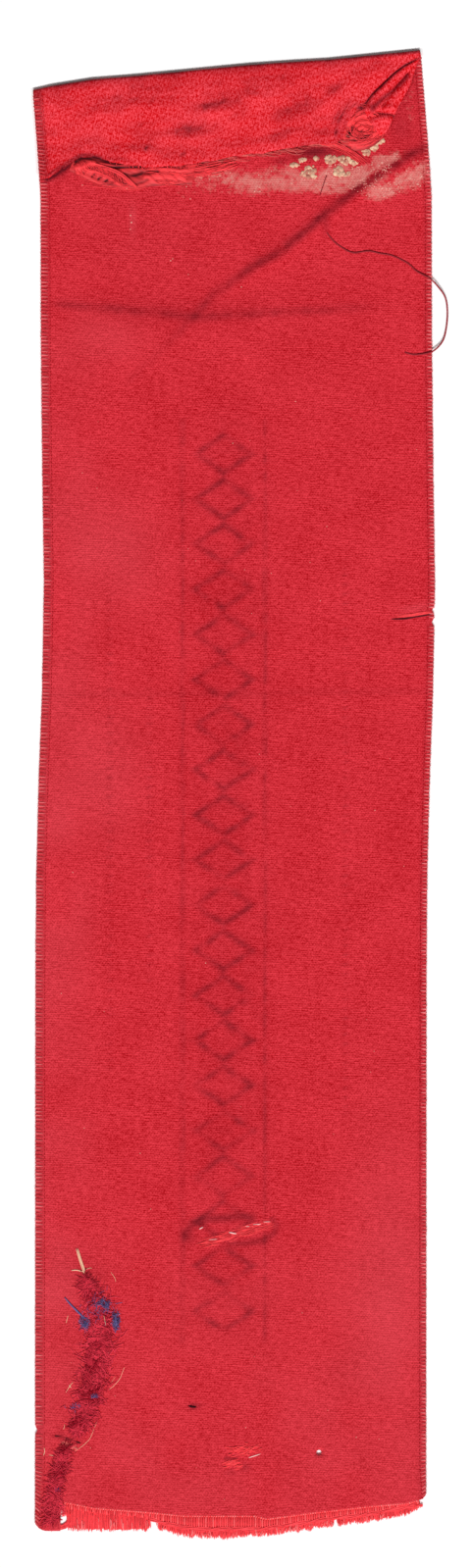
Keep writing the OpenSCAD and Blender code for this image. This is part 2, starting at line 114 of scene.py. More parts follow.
def noise(x, y, seed=0):
    """Smooth seeded noise from -1 to 1, one lump per unit."""
    x, y = np.broadcast_arrays(np.asarray(x, float), np.asarray(y, float))
    xi, yi = np.floor(x).astype(np.int64), np.floor(y).astype(np.int64)
    fx, fy = x - xi, y - yi
    fx, fy = fx * fx * (3 - 2 * fx), fy * fy * (3 - 2 * fy)

    def corner(i, j):
        n = (i * 374761393 + j * 668265263 + seed * 974711) & 0x7FFFFFFF
        n = ((n ^ (n >> 13)) * 1274126177) & 0x7FFFFFFF
        return ((n ^ (n >> 16)) & 0xFFFF) / 32767.5 - 1

    low = corner(xi, yi) * (1 - fx) + corner(xi + 1, yi) * fx
    high = corner(xi, yi + 1) * (1 - fx) + corner(xi + 1, yi + 1) * fx
    return low * (1 - fy) + high * fy


def from_line(x, y, line):
    """Signed distance from a line of points, and the share of the way along it."""
    best = np.full(np.shape(x), 1e9)
    side, share = np.zeros(np.shape(x)), np.zeros(np.shape(x))
    for i in range(len(line) - 1):
        a, run = line[i], line[i + 1] - line[i]
        t = np.clip(((x - a[0]) * run[0] + (y - a[1]) * run[1]) / (run @ run), 0, 1)
        dx, dy = x - a[0] - t * run[0], y - a[1] - t * run[1]
        d = np.hypot(dx, dy)
        near = d < best
        best = np.where(near, d, best)
        side = np.where(near, np.sign(run[0] * dy - run[1] * dx), side)
        share = np.where(near, (i + t) / (len(line) - 1), share)
    return best * side, share


def blobs(x, y, spots):
    """Sum of soft spots: centre and radii in pixels, turn in degrees and height."""
    total = np.zeros(np.shape(x))
    for px, py, rx, ry, turn, height in spots:
        c = spot(px, py)
        a = math.radians(turn)
        u = ((x - c[0]) * math.cos(a) + (y - c[1]) * math.sin(a)) / (rx * PX)
        v = ((y - c[1]) * math.cos(a) - (x - c[0]) * math.sin(a)) / (ry * PX)
        total = total + height * np.exp(-(u * u + v * v))
    return total


def streaks(x, y, lines):
    """Sum of soft lines: points in pixels, half width in millimetres and height."""
    total = np.zeros(np.shape(x))
    for points, width, height in lines:
        d, share = from_line(x, y, route(points))
        total += height * bell(d, width) * between(share, 0, 0.08, 0.92, 1)
    return total


def unit(v):
    """Vectors scaled to length 1."""
    return v / (np.linalg.norm(v, axis=-1, keepdims=True) + 1e-12)


def sideways(line):
    """The direction to the left of a line of points, at each of them."""
    run = unit(np.gradient(line[:, :2], axis=0))
    return np.stack([-run[:, 1], run[:, 0]], -1)


# ---------------------------------------------------------------- camera and lamps

CAMERA_D = 1.0  # metres
SENSOR = 36.0  # millimetres
cam_data = bpy.data.cameras.new("camera")
cam = bpy.data.objects.new("camera", cam_data)
bpy.context.scene.collection.objects.link(cam)
cam_data.sensor_width = SENSOR
cam_data.lens = SENSOR * CAMERA_D / (PHOTO_H * PX * MM)
centre = spot(PHOTO_W / 2, PHOTO_H / 2)
cam.location = (centre[0] * MM, centre[1] * MM, CAMERA_D)
bpy.context.scene.camera = cam
bpy.context.scene.view_settings.view_transform = "Standard"

WORLD_LIGHT = 0.16
SUN_LIGHT = 3.48
SUN_UP, SUN_WIDTH = math.radians(55), math.radians(9)
SUNS = [(-34, 0.22), (0, 0.56), (34, 0.22)]  # turn in degrees and share of the light
world = bpy.data.worlds.new("studio")
bpy.context.scene.world = world
world.use_nodes = True
sky = world.node_tree.nodes["Background"].inputs
sky["Color"].default_value = (1, 1, 1, 1)
sky["Strength"].default_value = WORLD_LIGHT
for turn, share in SUNS:
    lamp = bpy.data.lights.new("sun", "SUN")
    lamp.energy = SUN_LIGHT * share
    lamp.angle = SUN_WIDTH
    sun = bpy.data.objects.new("sun", lamp)
    bpy.context.scene.collection.objects.link(sun)
    sun.rotation_euler = (math.pi / 2 - SUN_UP, 0, math.radians(turn))


# ---------------------------------------------------------------- materials


def colour(r, g, b):
    """Linear colour of an 8-bit screen colour."""
    c = np.array([r, g, b]) / 255
    c = np.where(c <= 0.04045, c / 12.92, ((c + 0.055) / 1.055) ** 2.4)
    return (*c, 1.0)


class Shader:
    """A material with one principled shader, and short ways to add nodes to it."""

    def __init__(self, name, roughness, specular):
        self.mat = bpy.data.materials.new(name)
        self.mat.use_nodes = True
        self.nodes = self.mat.node_tree.nodes
        self.main = self.nodes["Principled BSDF"]
        self.main.inputs["Roughness"].default_value = roughness
        self.main.inputs["Specular IOR Level"].default_value = specular

    def put(self, socket, value):
        if isinstance(value, bpy.types.NodeSocket):
            self.mat.node_tree.links.new(value, socket)
        else:
            socket.default_value = value

    def node(self, kind, inputs, out=0, **settings):
        """A new node with its inputs, by name or number, and its settings; returns one output."""
        n = self.nodes.new("ShaderNode" + kind)
        for key, value in settings.items():
            setattr(n, key, value)
        for key, value in inputs.items():
            self.put(n.inputs[key], value)
        return n.outputs[out]

    def math(self, kind, a, b=0.0, clamp=False):
        return self.node("Math", {0: a, 1: b}, operation=kind, use_clamp=clamp)

    def add(self, a, b):
        return self.math("ADD", a, b)

    def times(self, a, b):
        return self.math("MULTIPLY", a, b)

    def swing(self, a, weight):
        """A value from 0 to 1 as one about 0, with a weight."""
        return self.times(self.math("SUBTRACT", a, 0.5), weight)

    def scaled(self, vector, by):
        return self.node("VectorMath", {0: vector, 1: by}, operation="MULTIPLY")

    def attribute(self, name, kind="Fac"):
        return self.node("Attribute", {}, kind, attribute_name=name)

    def noise(self, vector, scale, detail=2.0):
        return self.node("TexNoise", {"Vector": vector, "Scale": scale, "Detail": detail}, "Fac")

    def wave(self, vector, per_mm):
        """A sine along a direction, with that many waves per millimetre."""
        phase = {0: vector, 1: [2 * math.pi * v for v in per_mm]}
        return self.math("SINE", self.node("VectorMath", phase, "Value", operation="DOT_PRODUCT"))

    def mix(self, share, a, b):
        return self.node("Mix", {0: share, 6: a, 7: b}, 2, data_type="RGBA")

    def bump(self, height, depth):
        normal = self.node("Bump", {"Distance": depth * MM, "Height": height})
        self.put(self.main.inputs["Normal"], normal)

    def paint(self, tint):
        self.put(self.main.inputs["Base Color"], tint)
        return self.mat


BACK_REDS = colour(168, 0, 14), colour(231, 60, 73)
FACE_REDS = colour(208, 0, 10), colour(255, 82, 95)
# Dark red for real stains and print, and for painted shade in creases, folds and under edges
STAIN_AND_SHADE = colour(84, 12, 24)
HAZE = colour(222, 138, 130)
PALE = colour(226, 92, 104)


def weave(name, reds, roughness, specular, waves, depth, grain, tint_level, slub):
    """Woven cloth: fine threads from a few sine waves, slubs, mottling, stains and painted shade, and glue
    haze.
    """
    s = Shader(name, roughness, specular)
    flat = s.attribute("flat", "Vector")
    wobble = s.times(s.noise(s.scaled(flat, (0.25, 0.7, 1)), 1.0), 0.5)
    moved = s.node("VectorMath", {0: flat, 1: s.node("CombineXYZ", {1: wobble})}, operation="ADD")
    threads = 0.5
    for per_mm, height in waves:
        threads = s.add(s.times(s.wave(moved, per_mm), height), threads)
    slubs = s.noise(s.scaled(flat, grain), 1.0)
    specks = s.noise(flat, 4.6)
    mottle = s.noise(flat, 0.16, 6.0)
    share = s.swing(threads, 0.55)
    for part, weight in [(slubs, slub), (specks, 1.9), (mottle, 0.5)]:
        share = s.add(share, s.swing(part, weight))
    tint = s.mix(s.math("ADD", share, tint_level, clamp=True), *reds)
    tint = s.mix(s.attribute("pale"), tint, PALE)
    # Darkened where the dark attribute says: stains, print and painted shade
    tint = s.mix(s.attribute("dark"), tint, STAIN_AND_SHADE)
    crust = s.add(s.attribute("haze"), s.swing(s.noise(flat, 2.0, 6.0), 1.5))
    crust = s.math("MULTIPLY", s.math("SUBTRACT", crust, 0.30), 1.2, clamp=True)
    tint = s.mix(s.times(crust, s.add(s.times(threads, 0.6), 0.45)), tint, HAZE)
    s.bump(s.add(threads, s.times(slubs, 0.8)), depth)
    return s.paint(tint)


# Waves per millimetre across and along the cloth, and height
RIB_WAVES = [
    ((0.16, 0.62, 0), 0.06), ((0.06, 3.70, 0), 0.24), ((2.756, -1.65, 0), 0.13), ((2.756, 2.52, 0), 0.13),
]
SATIN_WAVES = [((3.016, 1.11, 0), 0.20), ((-2.339, 3.079, 0), 0.12)]
back_mat = weave("ribbon_back", BACK_REDS, 0.8, 0.06, RIB_WAVES, 0.032, (1.2, 4.8, 1), 0.5, 1.4)
face_mat = weave("satin_face", FACE_REDS, 0.55, 0.05, SATIN_WAVES, 0.045, (3.6, 2.6, 1), 0.385, 2.4)


def fibre(name, dark, light, roughness, specular, twist=3.0):
    """Fibres that differ in tone, with a fine twist along each and slight shading between."""
    s = Shader(name, roughness, specular)
    strands = s.noise(s.attribute("flat", "Vector"), twist, 3.0)
    share = s.math("ADD", s.attribute("tone"), s.swing(strands, 0.6), clamp=True)
    s.bump(strands, 0.03)
    return s.paint(s.mix(share, colour(*dark), colour(*light)))


bead_mat = fibre("selvedge", (186, 36, 46), (240, 120, 124), 0.7, 0.08)
floss_mat = fibre("floss", (158, 2, 16), (255, 72, 80), 0.45, 0.12)
dusty_mat = fibre("dusty_floss", (186, 32, 44), (228, 110, 106), 0.6, 0.1)
thread_mat = fibre("sewing_thread", (112, 20, 30), (176, 48, 58), 0.6, 0.1, 8.0)
# Its dark end serves the painted shade in valleys and at the rim of the torn patches
torn_mat = fibre("torn_floss", (64, 0, 8), (255, 68, 74), 0.5, 0.12, 1.0)
felt_mat = fibre("felt", (146, 12, 32), (236, 66, 86), 0.9, 0.03)
lint_mat = fibre("lint", (70, 50, 98), (122, 116, 170), 0.8, 0.06)
straw_mat = fibre("straw", (226, 136, 108), (255, 222, 186), 0.6, 0.15, 4.0)
flake_mat = fibre("glue_flake", (190, 112, 98), (234, 198, 164), 0.8, 0.08, 2.5)
crust_mat = fibre("old_glue", (214, 96, 96), (236, 172, 158), 0.8, 0.08)
# Dark brown for a real dirt spot, and for painted shade in the tear and the slit
dirt_and_shade_mat = fibre("dirt_and_shade", (44, 12, 18), (104, 30, 36), 0.9, 0.03)
speck_mat = fibre("pale_speck", (232, 124, 118), (250, 208, 188), 0.7, 0.2)
bright_mat = fibre("bright_floss", (246, 74, 80), (255, 150, 150), 0.45, 0.12)
glint_mat = fibre("snag_glint", (255, 140, 138), (255, 220, 216), 0.5, 0.1)


# ---------------------------------------------------------------- mesh builders


def make(name, points, faces, mats, index=None, flat=None, **values):
    """A smooth mesh object from points in millimetres, with its attributes."""
    points = np.asarray(points, float)
    mesh = bpy.data.meshes.new(name)
    mesh.from_pydata((points * MM).tolist(), [], [list(map(int, f)) for f in faces])
    for m in mats:
        mesh.materials.append(m)
    if index is not None:
        mesh.polygons.foreach_set("material_index", np.asarray(index, np.int32))
    mesh.polygons.foreach_set("use_smooth", np.ones(len(mesh.polygons), bool))
    flat = points if flat is None else flat
    a = mesh.attributes.new("flat", "FLOAT_VECTOR", "POINT")
    a.data.foreach_set("vector", np.asarray(flat, np.float32).ravel())
    for key, value in values.items():
        a = mesh.attributes.new(key, "FLOAT", "POINT")
        a.data.foreach_set("value", np.asarray(value, np.float32).ravel())
    mesh.update()
    obj = bpy.data.objects.new(name, mesh)
    bpy.context.scene.collection.objects.link(obj)
    return obj


def listed(top, low):
    """The points of two grids as one list."""
    return np.concatenate([top.reshape(-1, 3), low.reshape(-1, 3)])


def raised(xy, z):
    """A grid of places as points at a height, one for all or one for each."""
    return np.dstack([xy, np.broadcast_to(z, xy.shape[:2])])


def closed(top, low, mats, hole=None, flat=None, name="part", **values):
    """A closed sheet between two grids, with the first material on top and the last elsewhere.
    A value holds for both sides, or is a pair for top and underside."""
    rows, cols = top.shape[:2]
    n = rows * cols
    grid = np.arange(n).reshape(rows, cols)
    quads = np.stack([grid[:-1, :-1], grid[:-1, 1:], grid[1:, 1:], grid[1:, :-1]], -1)
    keep = np.ones(quads.shape[:2], bool)
    loops = [grid[0, :], grid[:, -1], grid[-1, ::-1], grid[::-1, 0]]
    if hole:
        j, i = hole
        keep[j - 1:j + 1, i - 1:i + 1] = False
        loops.append(np.array([grid[j + dj, i + di] for dj, di in HOLE_RING]))
    quads = quads[keep]
    rims = np.concatenate([np.stack([l[:-1] + n, l[1:] + n, l[1:], l[:-1]], -1) for l in loops])
    faces = np.concatenate([quads, quads[:, ::-1] + n, rims])
    index = np.where(np.arange(len(faces)) < len(quads), 0, len(mats) - 1)
    for key, value in values.items():
        pair = value if isinstance(value, tuple) else (value, value)
        values[key] = np.concatenate([np.broadcast_to(v, (rows, cols)).ravel() for v in pair])
    return make(name, listed(top, low), faces, mats, index, flat, **values)


# The steps round a grid point that is left out, from one corner back to it
HOLE_RING = [(-1, -1), (0, -1), (1, -1), (1, 0), (1, 1), (0, 1), (-1, 1), (-1, 0), (-1, -1)]


def ringed(points, mat, tone, name="part"):
    """One mesh of closed forms from their rings of points, an array of (form, ring, side, 3)."""
    count, steps, sides = points.shape[:3]
    grid = np.arange(count * steps * sides).reshape(count, steps, sides)
    turned = np.roll(grid, -1, axis=2)
    walls = np.stack([grid[:, :-1], turned[:, :-1], turned[:, 1:], grid[:, 1:]], -1).reshape(-1, 4)
    caps = np.concatenate([grid[:, 0, ::-1], grid[:, -1]])
    tone = rng.random(count) if tone is None else np.broadcast_to(tone, (count,))
    tone = np.repeat(tone, steps * sides)
    return make(name, points.reshape(-1, 3), walls.tolist() + caps.tolist(), [mat], tone=tone)


def resample(line, steps):
    """A line of points as evenly spaced ones on a smooth curve."""
    line = np.asarray(line, float)
    padded = np.vstack([2 * line[0] - line[1], line, 2 * line[-1] - line[-2]])
    fine = []
    for i in range(len(line) - 1):
        a, b, c, d = padded[i:i + 4]
        for t in np.linspace(0, 1, 8, endpoint=False):
            fine.append(0.5 * (2 * b + (c - a) * t + (2 * a - 5 * b + 4 * c - d) * t ** 2
                               + (3 * b - a - 3 * c + d) * t ** 3))
    fine = np.array(fine + [line[-1]])
    s = np.concatenate([[0], np.cumsum(np.linalg.norm(np.diff(fine, axis=0), axis=1))])
    want = np.linspace(0, s[-1], steps)
    return np.stack([np.interp(want, s, fine[:, k]) for k in range(fine.shape[1])], -1)


def tubes(paths, radii, mat, sides=5, tone=None, ref=(0.12, 0.19, 0.97), name="part"):
    """One mesh of closed tubes round paths, an array of (tube, step, 3)."""
    paths = np.asarray(paths, float)
    run = unit(np.gradient(paths, axis=1))
    side = unit(np.cross(run, np.broadcast_to(np.asarray(ref, float).reshape(-1, 1, 3), run.shape)))
    up = np.cross(side, run)
    radii = np.broadcast_to(np.asarray(radii, float), paths.shape[:2])
    a = (2 * np.pi * np.arange(sides) / sides)[None, None, :, None]
    ring = np.cos(a) * side[:, :, None] + np.sin(a) * up[:, :, None]
    return ringed(paths[:, :, None] + radii[:, :, None, None] * ring, mat, tone, name)


def strand(ends, steps, sag=0.0, jitter=0.0):
    """Curved paths between pairs of ends, an array of (strand, 2, 3)."""
    ends = np.asarray(ends, float)
    t = np.linspace(0, 1, steps)[None, :, None]
    path = ends[:, :1] * (1 - t) + ends[:, 1:] * t
    hump = 4 * t * (1 - t)
    shift = rng.normal(0, 1, (len(ends), 1, 3)) * jitter
    shift[:, :, 2] = np.abs(shift[:, :, 2]) * 0.5 + sag
    return path + hump * shift


def taper(count, steps, radius, tips=0.45, spread=0.25):
    """Radii that shrink to a share of them at both tips and spread from tube to tube."""
    t = np.linspace(-1, 1, steps)
    return radius * (1 - (1 - tips) * t ** 4) * rng.uniform(1 - spread, 1 + spread, (count, 1))


def hairs(ends, steps, sag, jitter, radius, mat, sides=4, tone=None, **form):
    """Fine tubes between pairs of ends; a tuple as tone is the range that tones are drawn from."""
    paths, radii = strand(ends, steps, sag, jitter), taper(len(ends), steps, radius, **form)
    if isinstance(tone, tuple):
        tone = rng.uniform(*tone, len(ends))
    return tubes(paths, radii, mat, sides, tone)


BUNDLE_STEPS = 60


def bundle(line, count, width, steps, height, wander, cut):
    """Strands that run side by side along a line of points (x, y, z), each cut a bit short."""
    middle = resample(line, BUNDLE_STEPS)
    across = sideways(middle)
    marks = np.arange(BUNDLE_STEPS)
    paths = []
    for _ in range(count):
        a, b = rng.uniform(0, cut), 1 - rng.uniform(0, cut)
        t = np.linspace(a, b, steps) * (BUNDLE_STEPS - 1)
        place = rng.uniform(-1, 1)
        drift = place + wander * noise(t / 14 + rng.uniform(0, 90), 0.5, int(rng.integers(99)))
        path = np.stack([np.interp(t, marks, middle[:, k]) for k in range(3)], -1)
        side = np.stack([np.interp(t, marks, across[:, k]) for k in range(2)], -1)
        path[:, :2] += side * (drift * width / 2)[:, None]
        lift = height * (0.5 + 0.5 * noise(t / 11 + rng.uniform(0, 90), 0.5, int(rng.integers(99))))
        path[:, 2] += lift * np.sqrt(np.clip(1 - (drift / 1.6) ** 2, 0, 1))
        paths.append(path)
    return np.array(paths)


def joined(parts, name):
    """Joins meshes into one object."""
    bpy.ops.object.select_all(action="DESELECT")
    for part in parts:
        part.select_set(True)
    bpy.context.view_layer.objects.active = parts[0]
    if len(parts) > 1:
        bpy.ops.object.join()
    piece = bpy.context.view_layer.objects.active
    piece.name = name
    piece.data.name = name
    return piece


def put(parts, name, body, node=None):
    """Joins meshes into one piece that rides on a body and stands for a node."""
    piece = joined(parts, name)
    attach(piece, body)
    if node:
        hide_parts(node)
    return piece


# ---------------------------------------------------------------- the loose thread, a free cord

THREAD_ROUTE = [  # millimetres in the frame
    (11.4, 74.3, 0.43), (11.6, 73.4, 0.43), (12.7, 71.8, 0.43), (13.9, 70.8, 0.43), (15.4, 70.1, 0.43),
    (17.4, 70.3, 0.43), (18.9, 70.0, 0.43), (20.5, 69.7, 0.43), (22.5, 68.7, 0.45), (23.6, 67.7, 0.52),
    (25.4, 66.7, 0.60), (26.4, 65.7, 0.46), (27.3, 64.4, 0.22), (27.6, 62.8, 0.14), (27.5, 60.7, 0.14),
    (27.0, 58.7, 0.32), (25.8, 57.4, 0.59), (24.6, 57.0, 0.58), (23.2, 56.9, 0.46), (22.1, 57.2, 0.43),
]
THREAD_SEEN_R = 0.106  # the thread's core without its fuzz
thread_line = resample(THREAD_ROUTE, 150)
thread = tubes(thread_line[None], THREAD_SEEN_R, thread_mat, sides=8, tone=0.6, name="loose_thread_strand")
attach(thread, "upper")
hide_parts("loose_thread")


# ---------------------------------------------------------------- the ribbon: panel, bend and heading

DIAGONAL = route([
    (432, 156), (420, 163), (395, 179), (368, 196), (328, 227), (288, 261), (261, 276), (222, 303),
    (196, 332), (168, 360), (138, 388),
])
CROSS_LINE = route([(45, 310), (86, 314), (123, 317), (199, 325), (255, 322), (307, 319), (400, 313)])
STORAGE_LINE = route([(40, 709), (240, 707), (442, 705)])
SLIT = route([(54, 1462.5), (64, 1464), (71, 1467.5), (80, 1471)])
TORN_PX = [
    (50, 182), (60, 174), (72, 167), (82, 160.5), (95, 161), (115, 166), (135, 169), (150, 171), (178, 170),
    (196, 168), (210, 165), (222, 164), (237, 160), (252, 158), (266, 157), (280, 154), (293, 152),
    (306, 150), (319, 148), (332, 148), (340, 147), (349, 143), (352, 132), (356, 122), (363, 114),
    (369.3, 111.9), (373.4, 103.7), (381.6, 92.4), (391.9, 83.1), (405, 71.8), (424.7, 62), (432, 57),
]
PLEAT_FROM = 25  # the torn edge's point where the pleat begins
# How far the fold bulges past its straight line
FOLD_ARCH = [
    (34, 0), (54, 2.5), (94, 4.8), (134, 3.8), (194, 3.4), (254, 3.1), (300, 1.5), (334, 0), (428, 0),
]
HEM_PX = [
    (60, 1531), (66, 1532), (96, 1538), (149, 1542), (188, 1546), (260, 1546), (272, 1549), (325, 1542),
    (379, 1536), (415, 1533), (426, 1530),
]
RIDGE_PX = [
    (152, 1548), (173, 1554), (200, 1558.6), (260, 1558.6), (272, 1558), (325, 1550), (379, 1543),
    (424, 1534),
]
HEM_LEFT = spot(62, 0)[0]
CORNER_LOW = spot(0, 1561)[1]  # bottom of the lower left corner
LEFT_X, LEFT_CORNER_R = -25.9, 1.7
RIGHT_X, RIGHT_CORNER_R = 24.95, 1.3
TEAR_Y = spot(0, 629)[1]
# Bites in the edges: height in the frame, side and depth
NOTCHES = [(TEAR_Y + 0.8, 1, 0.3), (TEAR_Y - 0.7, 1, 0.3), (spot(0, 1458)[1], -1, 0.25)]
HOLE, HOLE_R = spot(325, 1481), 0.34  # the pinhole


def panel_lift(x, y):
    """How far the cloth stands off the table."""
    lift = 0.05 * (1 + noise(x / 15, y / 10, 1)) + 0.025 * (1 + noise(x / 5, y / 6, 2))
    d, share = from_line(x, y, DIAGONAL)
    fading = 1 - 0.85 * smooth(share, 0.5, 0.75)
    lift += 0.62 * between(share, 0, 0.12, 0.85, 1) * fading * ridge(d, 0.05, 1.1)
    d, share = from_line(x, y, CROSS_LINE)
    lift += 0.16 * between(share, 0, 0.1, 0.85, 1) * ridge(d, 0.03, 0.5)
    d, share = from_line(x, y, SLIT)
    lift += 0.30 * between(share, 0, 0.3, 0.9, 1) * ridge(d, 0.02, 0.45)
    under = (FOLD[1] - y + (x - FOLD[0]) * math.tan(SLANT)) * math.cos(SLANT)
    return lift * smooth(np.abs(y - CREASE_Y), 1.5, 9.0) * smooth(under, 9.0, 14.0)


FLAP_LUMPS = [
    (222, 114, 20, 6, 4, 0.30), (203, 141, 18, 5, 5, 0.30), (252, 98, 26, 6, 6, 0.18),
    (120, 112, 30, 9, 8, 0.22), (88, 128, 20, 10, 0, 0.16), (150, 156, 14, 5, 0, 0.18),
    (285, 142, 14, 8, 30, 0.22), (312, 118, 20, 8, 20, 0.24), (338, 102, 14, 7, 35, 0.28),
    (300, 84, 30, 7, 6, 0.22), (170, 92, 30, 6, 6, 0.20), (346, 128, 8, 12, -20, 0.30),
    (375, 80, 22, 8, 38, 0.25), (62, 120, 7, 26, 8, 0.10), (250, 150, 30, 5, 8, 0.16),
    (330, 140, 16, 5, 10, 0.20),
]


def flap_lift(x, y, near_edge, depth):
    """Lumps of the folded heading, which is glued down unevenly."""
    lift = 0.09 * (0.6 + noise(x / 4.5, y / 2.4, 5)) + 0.05 * noise(x / 1.7, y / 1.3, 6)
    lift += blobs(x, y, FLAP_LUMPS)
    left = 1 - smooth(x, -21.0, -9.0)
    lift += (0.12 + 0.35 * left) * np.exp(-near_edge / 1.1)
    return np.maximum(lift, -0.08) * smooth(depth, 0.3, 2.0)


def rounded(inside, radius):
    """How far a round corner stands back, by distance from the side."""
    short = np.clip(radius - inside, 0, radius)
    return radius - np.sqrt(radius ** 2 - short ** 2)


EDGE_X = 25.25  # half the cloth's width inside the beads
STEP_X = HEM_LEFT + 0.43  # the column of the step at the hem's left end
offsets = np.sort(np.concatenate([np.linspace(-EDGE_X, EDGE_X, 122), [STEP_X - 0.03, STEP_X + 0.03]]))
cols = len(offsets)

# Where each column meets the hem below and the bend above
low_x = bow(BOTTOM_Y) + offsets
hem_y = level(route(HEM_PX), low_x) + rounded(RIGHT_X - low_x, RIGHT_CORNER_R)
low_y = np.where(low_x < HEM_LEFT, CORNER_LOW + rounded(low_x - LEFT_X, LEFT_CORNER_R), hem_y)
fold_y = np.full(cols, 93.0)
for _ in range(6):
    fold_x = bow(fold_y) + offsets
    fold_y = FOLD[1] + (fold_x - FOLD[0]) * math.tan(SLANT)
fold_bulge = level(FOLD_ARCH, fold_x / PX + MID_PX) * PX
bend_pts = np.stack([fold_x, fold_y], -1) + (fold_bulge - BEND_R)[:, None] * AWAY

# Rows from the hem to the bend: dense bands at both ends and even rows between
LOW_BAND, HIGH_BAND, ROW_STEP = -86.0, 84.0, 0.41
HIGH_ROWS = 30
rows_y = np.concatenate([
    low_y + (LOW_BAND - low_y) * np.linspace(0, 1, 26)[:-1, None],
    np.repeat(np.arange(LOW_BAND, HIGH_BAND, ROW_STEP)[:, None], cols, 1),
    HIGH_BAND + (bend_pts[:, 1] - HIGH_BAND) * np.linspace(0, 1, HIGH_ROWS)[:, None],
])
rows = len(rows_y)
panel_x = bow(rows_y) + offsets
panel_x += (bend_pts[:, 0] - panel_x[-1]) * smooth(np.arange(rows), rows - HIGH_ROWS, rows - 1)[:, None]
for y0, side, bite in NOTCHES:
    panel_x -= side * bite * smooth(side * offsets, 24.2, 25.2) * bell(rows_y - y0, 0.3)
panel = np.dstack([panel_x, rows_y, CLOTH_T / 2 + panel_lift(panel_x, rows_y)])

bend = []
for a in np.linspace(0, math.pi, 10)[1:]:
    bend_z = CLOTH_T / 2 + BEND_MID_R * (1 - math.cos(a))
    bend.append(np.column_stack([bend_pts + BEND_MID_R * math.sin(a) * AWAY, np.full(cols, bend_z)]))

FLAP_ROWS = 30
FLAP_EDGE_PX = (41, 429)  # left and right end of the flap's torn edge
edge_px = np.interp(offsets, [-EDGE_X, EDGE_X], FLAP_EDGE_PX)
ragged = 1.2 * noise(edge_px / 2.2, 0.5, 8) * (edge_px < 350)
edge_pts = spot(edge_px, level(TORN_PX, edge_px) + ragged).T
t = (np.linspace(0, 1, FLAP_ROWS + 1)[1:] ** 0.9)[:, None, None]
flap_xy = bend_pts * (1 - t) + edge_pts * t
full = np.linalg.norm(edge_pts - bend_pts, axis=1)
depth = full * t[:, :, 0]
flap_z = CLOTH_T / 2 + 2 * BEND_MID_R + flap_lift(flap_xy[:, :, 0], flap_xy[:, :, 1], full - depth, depth)
pleat_gap = smooth(edge_px, 366, 376) * np.exp(-(full - depth) / 0.7)
flap_z -= 0.10 * pleat_gap * smooth(depth, 0.3, 2.0)
middle = np.concatenate([panel, bend, raised(flap_xy, flap_z)])

hole_j = int(np.argmin(np.abs(panel[:, cols // 2, 1] - HOLE[1])))
hole_i = int(np.argmin(np.abs(panel[hole_j, :, 0] - HOLE[0])))
for dj, di in HOLE_RING[:-1]:
    a = math.atan2(dj, di)
    middle[hole_j + dj, hole_i + di, :2] = HOLE + HOLE_R * np.array([math.cos(a), math.sin(a)])

across = np.gradient(middle, axis=1)
normal = unit(np.cross(across, np.gradient(middle, axis=0)))
back_side, face_side = middle + normal * CLOTH_T / 2, middle - normal * CLOTH_T / 2
back_side[:, :, 2] = np.maximum(back_side[:, :, 2], 0.005)
face_side[:, :, 2] = np.maximum(face_side[:, :, 2], 0.0)

# Places on the cloth laid out flat, for the weave
row_steps = np.linalg.norm(np.diff(middle[rows - 1:], axis=0), axis=2)
flat_y = np.concatenate([rows_y, rows_y[-1] + np.cumsum(row_steps, axis=0)]) - BOTTOM_Y
flat = np.dstack([np.broadcast_to(offsets, flat_y.shape), flat_y, np.zeros(flat_y.shape)])

# Stains, painted shade, glue and wear, by place
HAZE_PLACES = [
    (300, 186, 32, 10, 2, 0.55), (345, 184, 26, 12, 0, 0.95), (370, 181, 24, 11, 18, 1.15),
    (392, 168, 12, 8, 40, 0.9), (341, 173, 10, 6, 20, 0.8), (404, 160.5, 7, 5, 20, 1.1),
    (427, 178, 16, 11, 30, 1.05), (405, 189, 22, 9, 26, 1.05), (387, 197, 14, 6, 15, 1.0),
    (205, 178, 18, 8, 10, 0.45), (418, 110, 6, 30, 0, 0.36), (420, 66, 4, 12, 0, 0.35),
    (188, 196, 8, 14, 30, 0.35), (250, 186, 34, 8, 0, 0.4), (385, 161, 6, 4, 0, 0.8),
    (360, 173, 8, 3, 0, 0.6), (229, 178, 8, 5, 0, 0.5), (262, 192, 9, 5, 0, 0.4),
    (235, 169, 30, 4, 4, 0.3), (285, 171, 14, 5, 8, 0.45),
]
FLAP_HAZE = [(250, 158, 40, 3, 6, 0.45), (216, 165, 20, 3, 0, 0.4)]
# Real stains and dirt, and painted shade under the flap's edge, under the loose corner and by the slit
BACK_STAINS_AND_SHADE = [
    (320, 155, 23, 7, 6, 0.80), (286, 165, 8, 4, 0, 0.35), (197, 1434, 4.5, 1.9, 0, 0.9),
    (200, 1433, 9, 3, 0, 0.2), (67, 1467, 12, 1.8, -16, 0.85), (62, 178, 12, 4, 28, 0.35),
    (180, 318, 90, 16, 0, 0.12), (194, 1262, 8, 8, 0, 0.25), (250, 1496, 5, 4, 0, 0.35),
    (235, 1501, 6, 4, 0, 0.2), (332, 230, 4, 10, 0, 0.3), (150, 250, 60, 40, 0, 0.05),
    (100, 1300, 18, 8, 0, 0.12), (80, 1296, 14, 18, 0, 0.12), (412, 96, 12, 26, -10, 0.20),
    (408, 132, 16, 14, 0, 0.20), (360, 160, 34, 6, 0, 0.15), (86, 1388, 22, 90, -4, 0.10),
    (56, 1545, 16, 12, 0, 0.2),
]
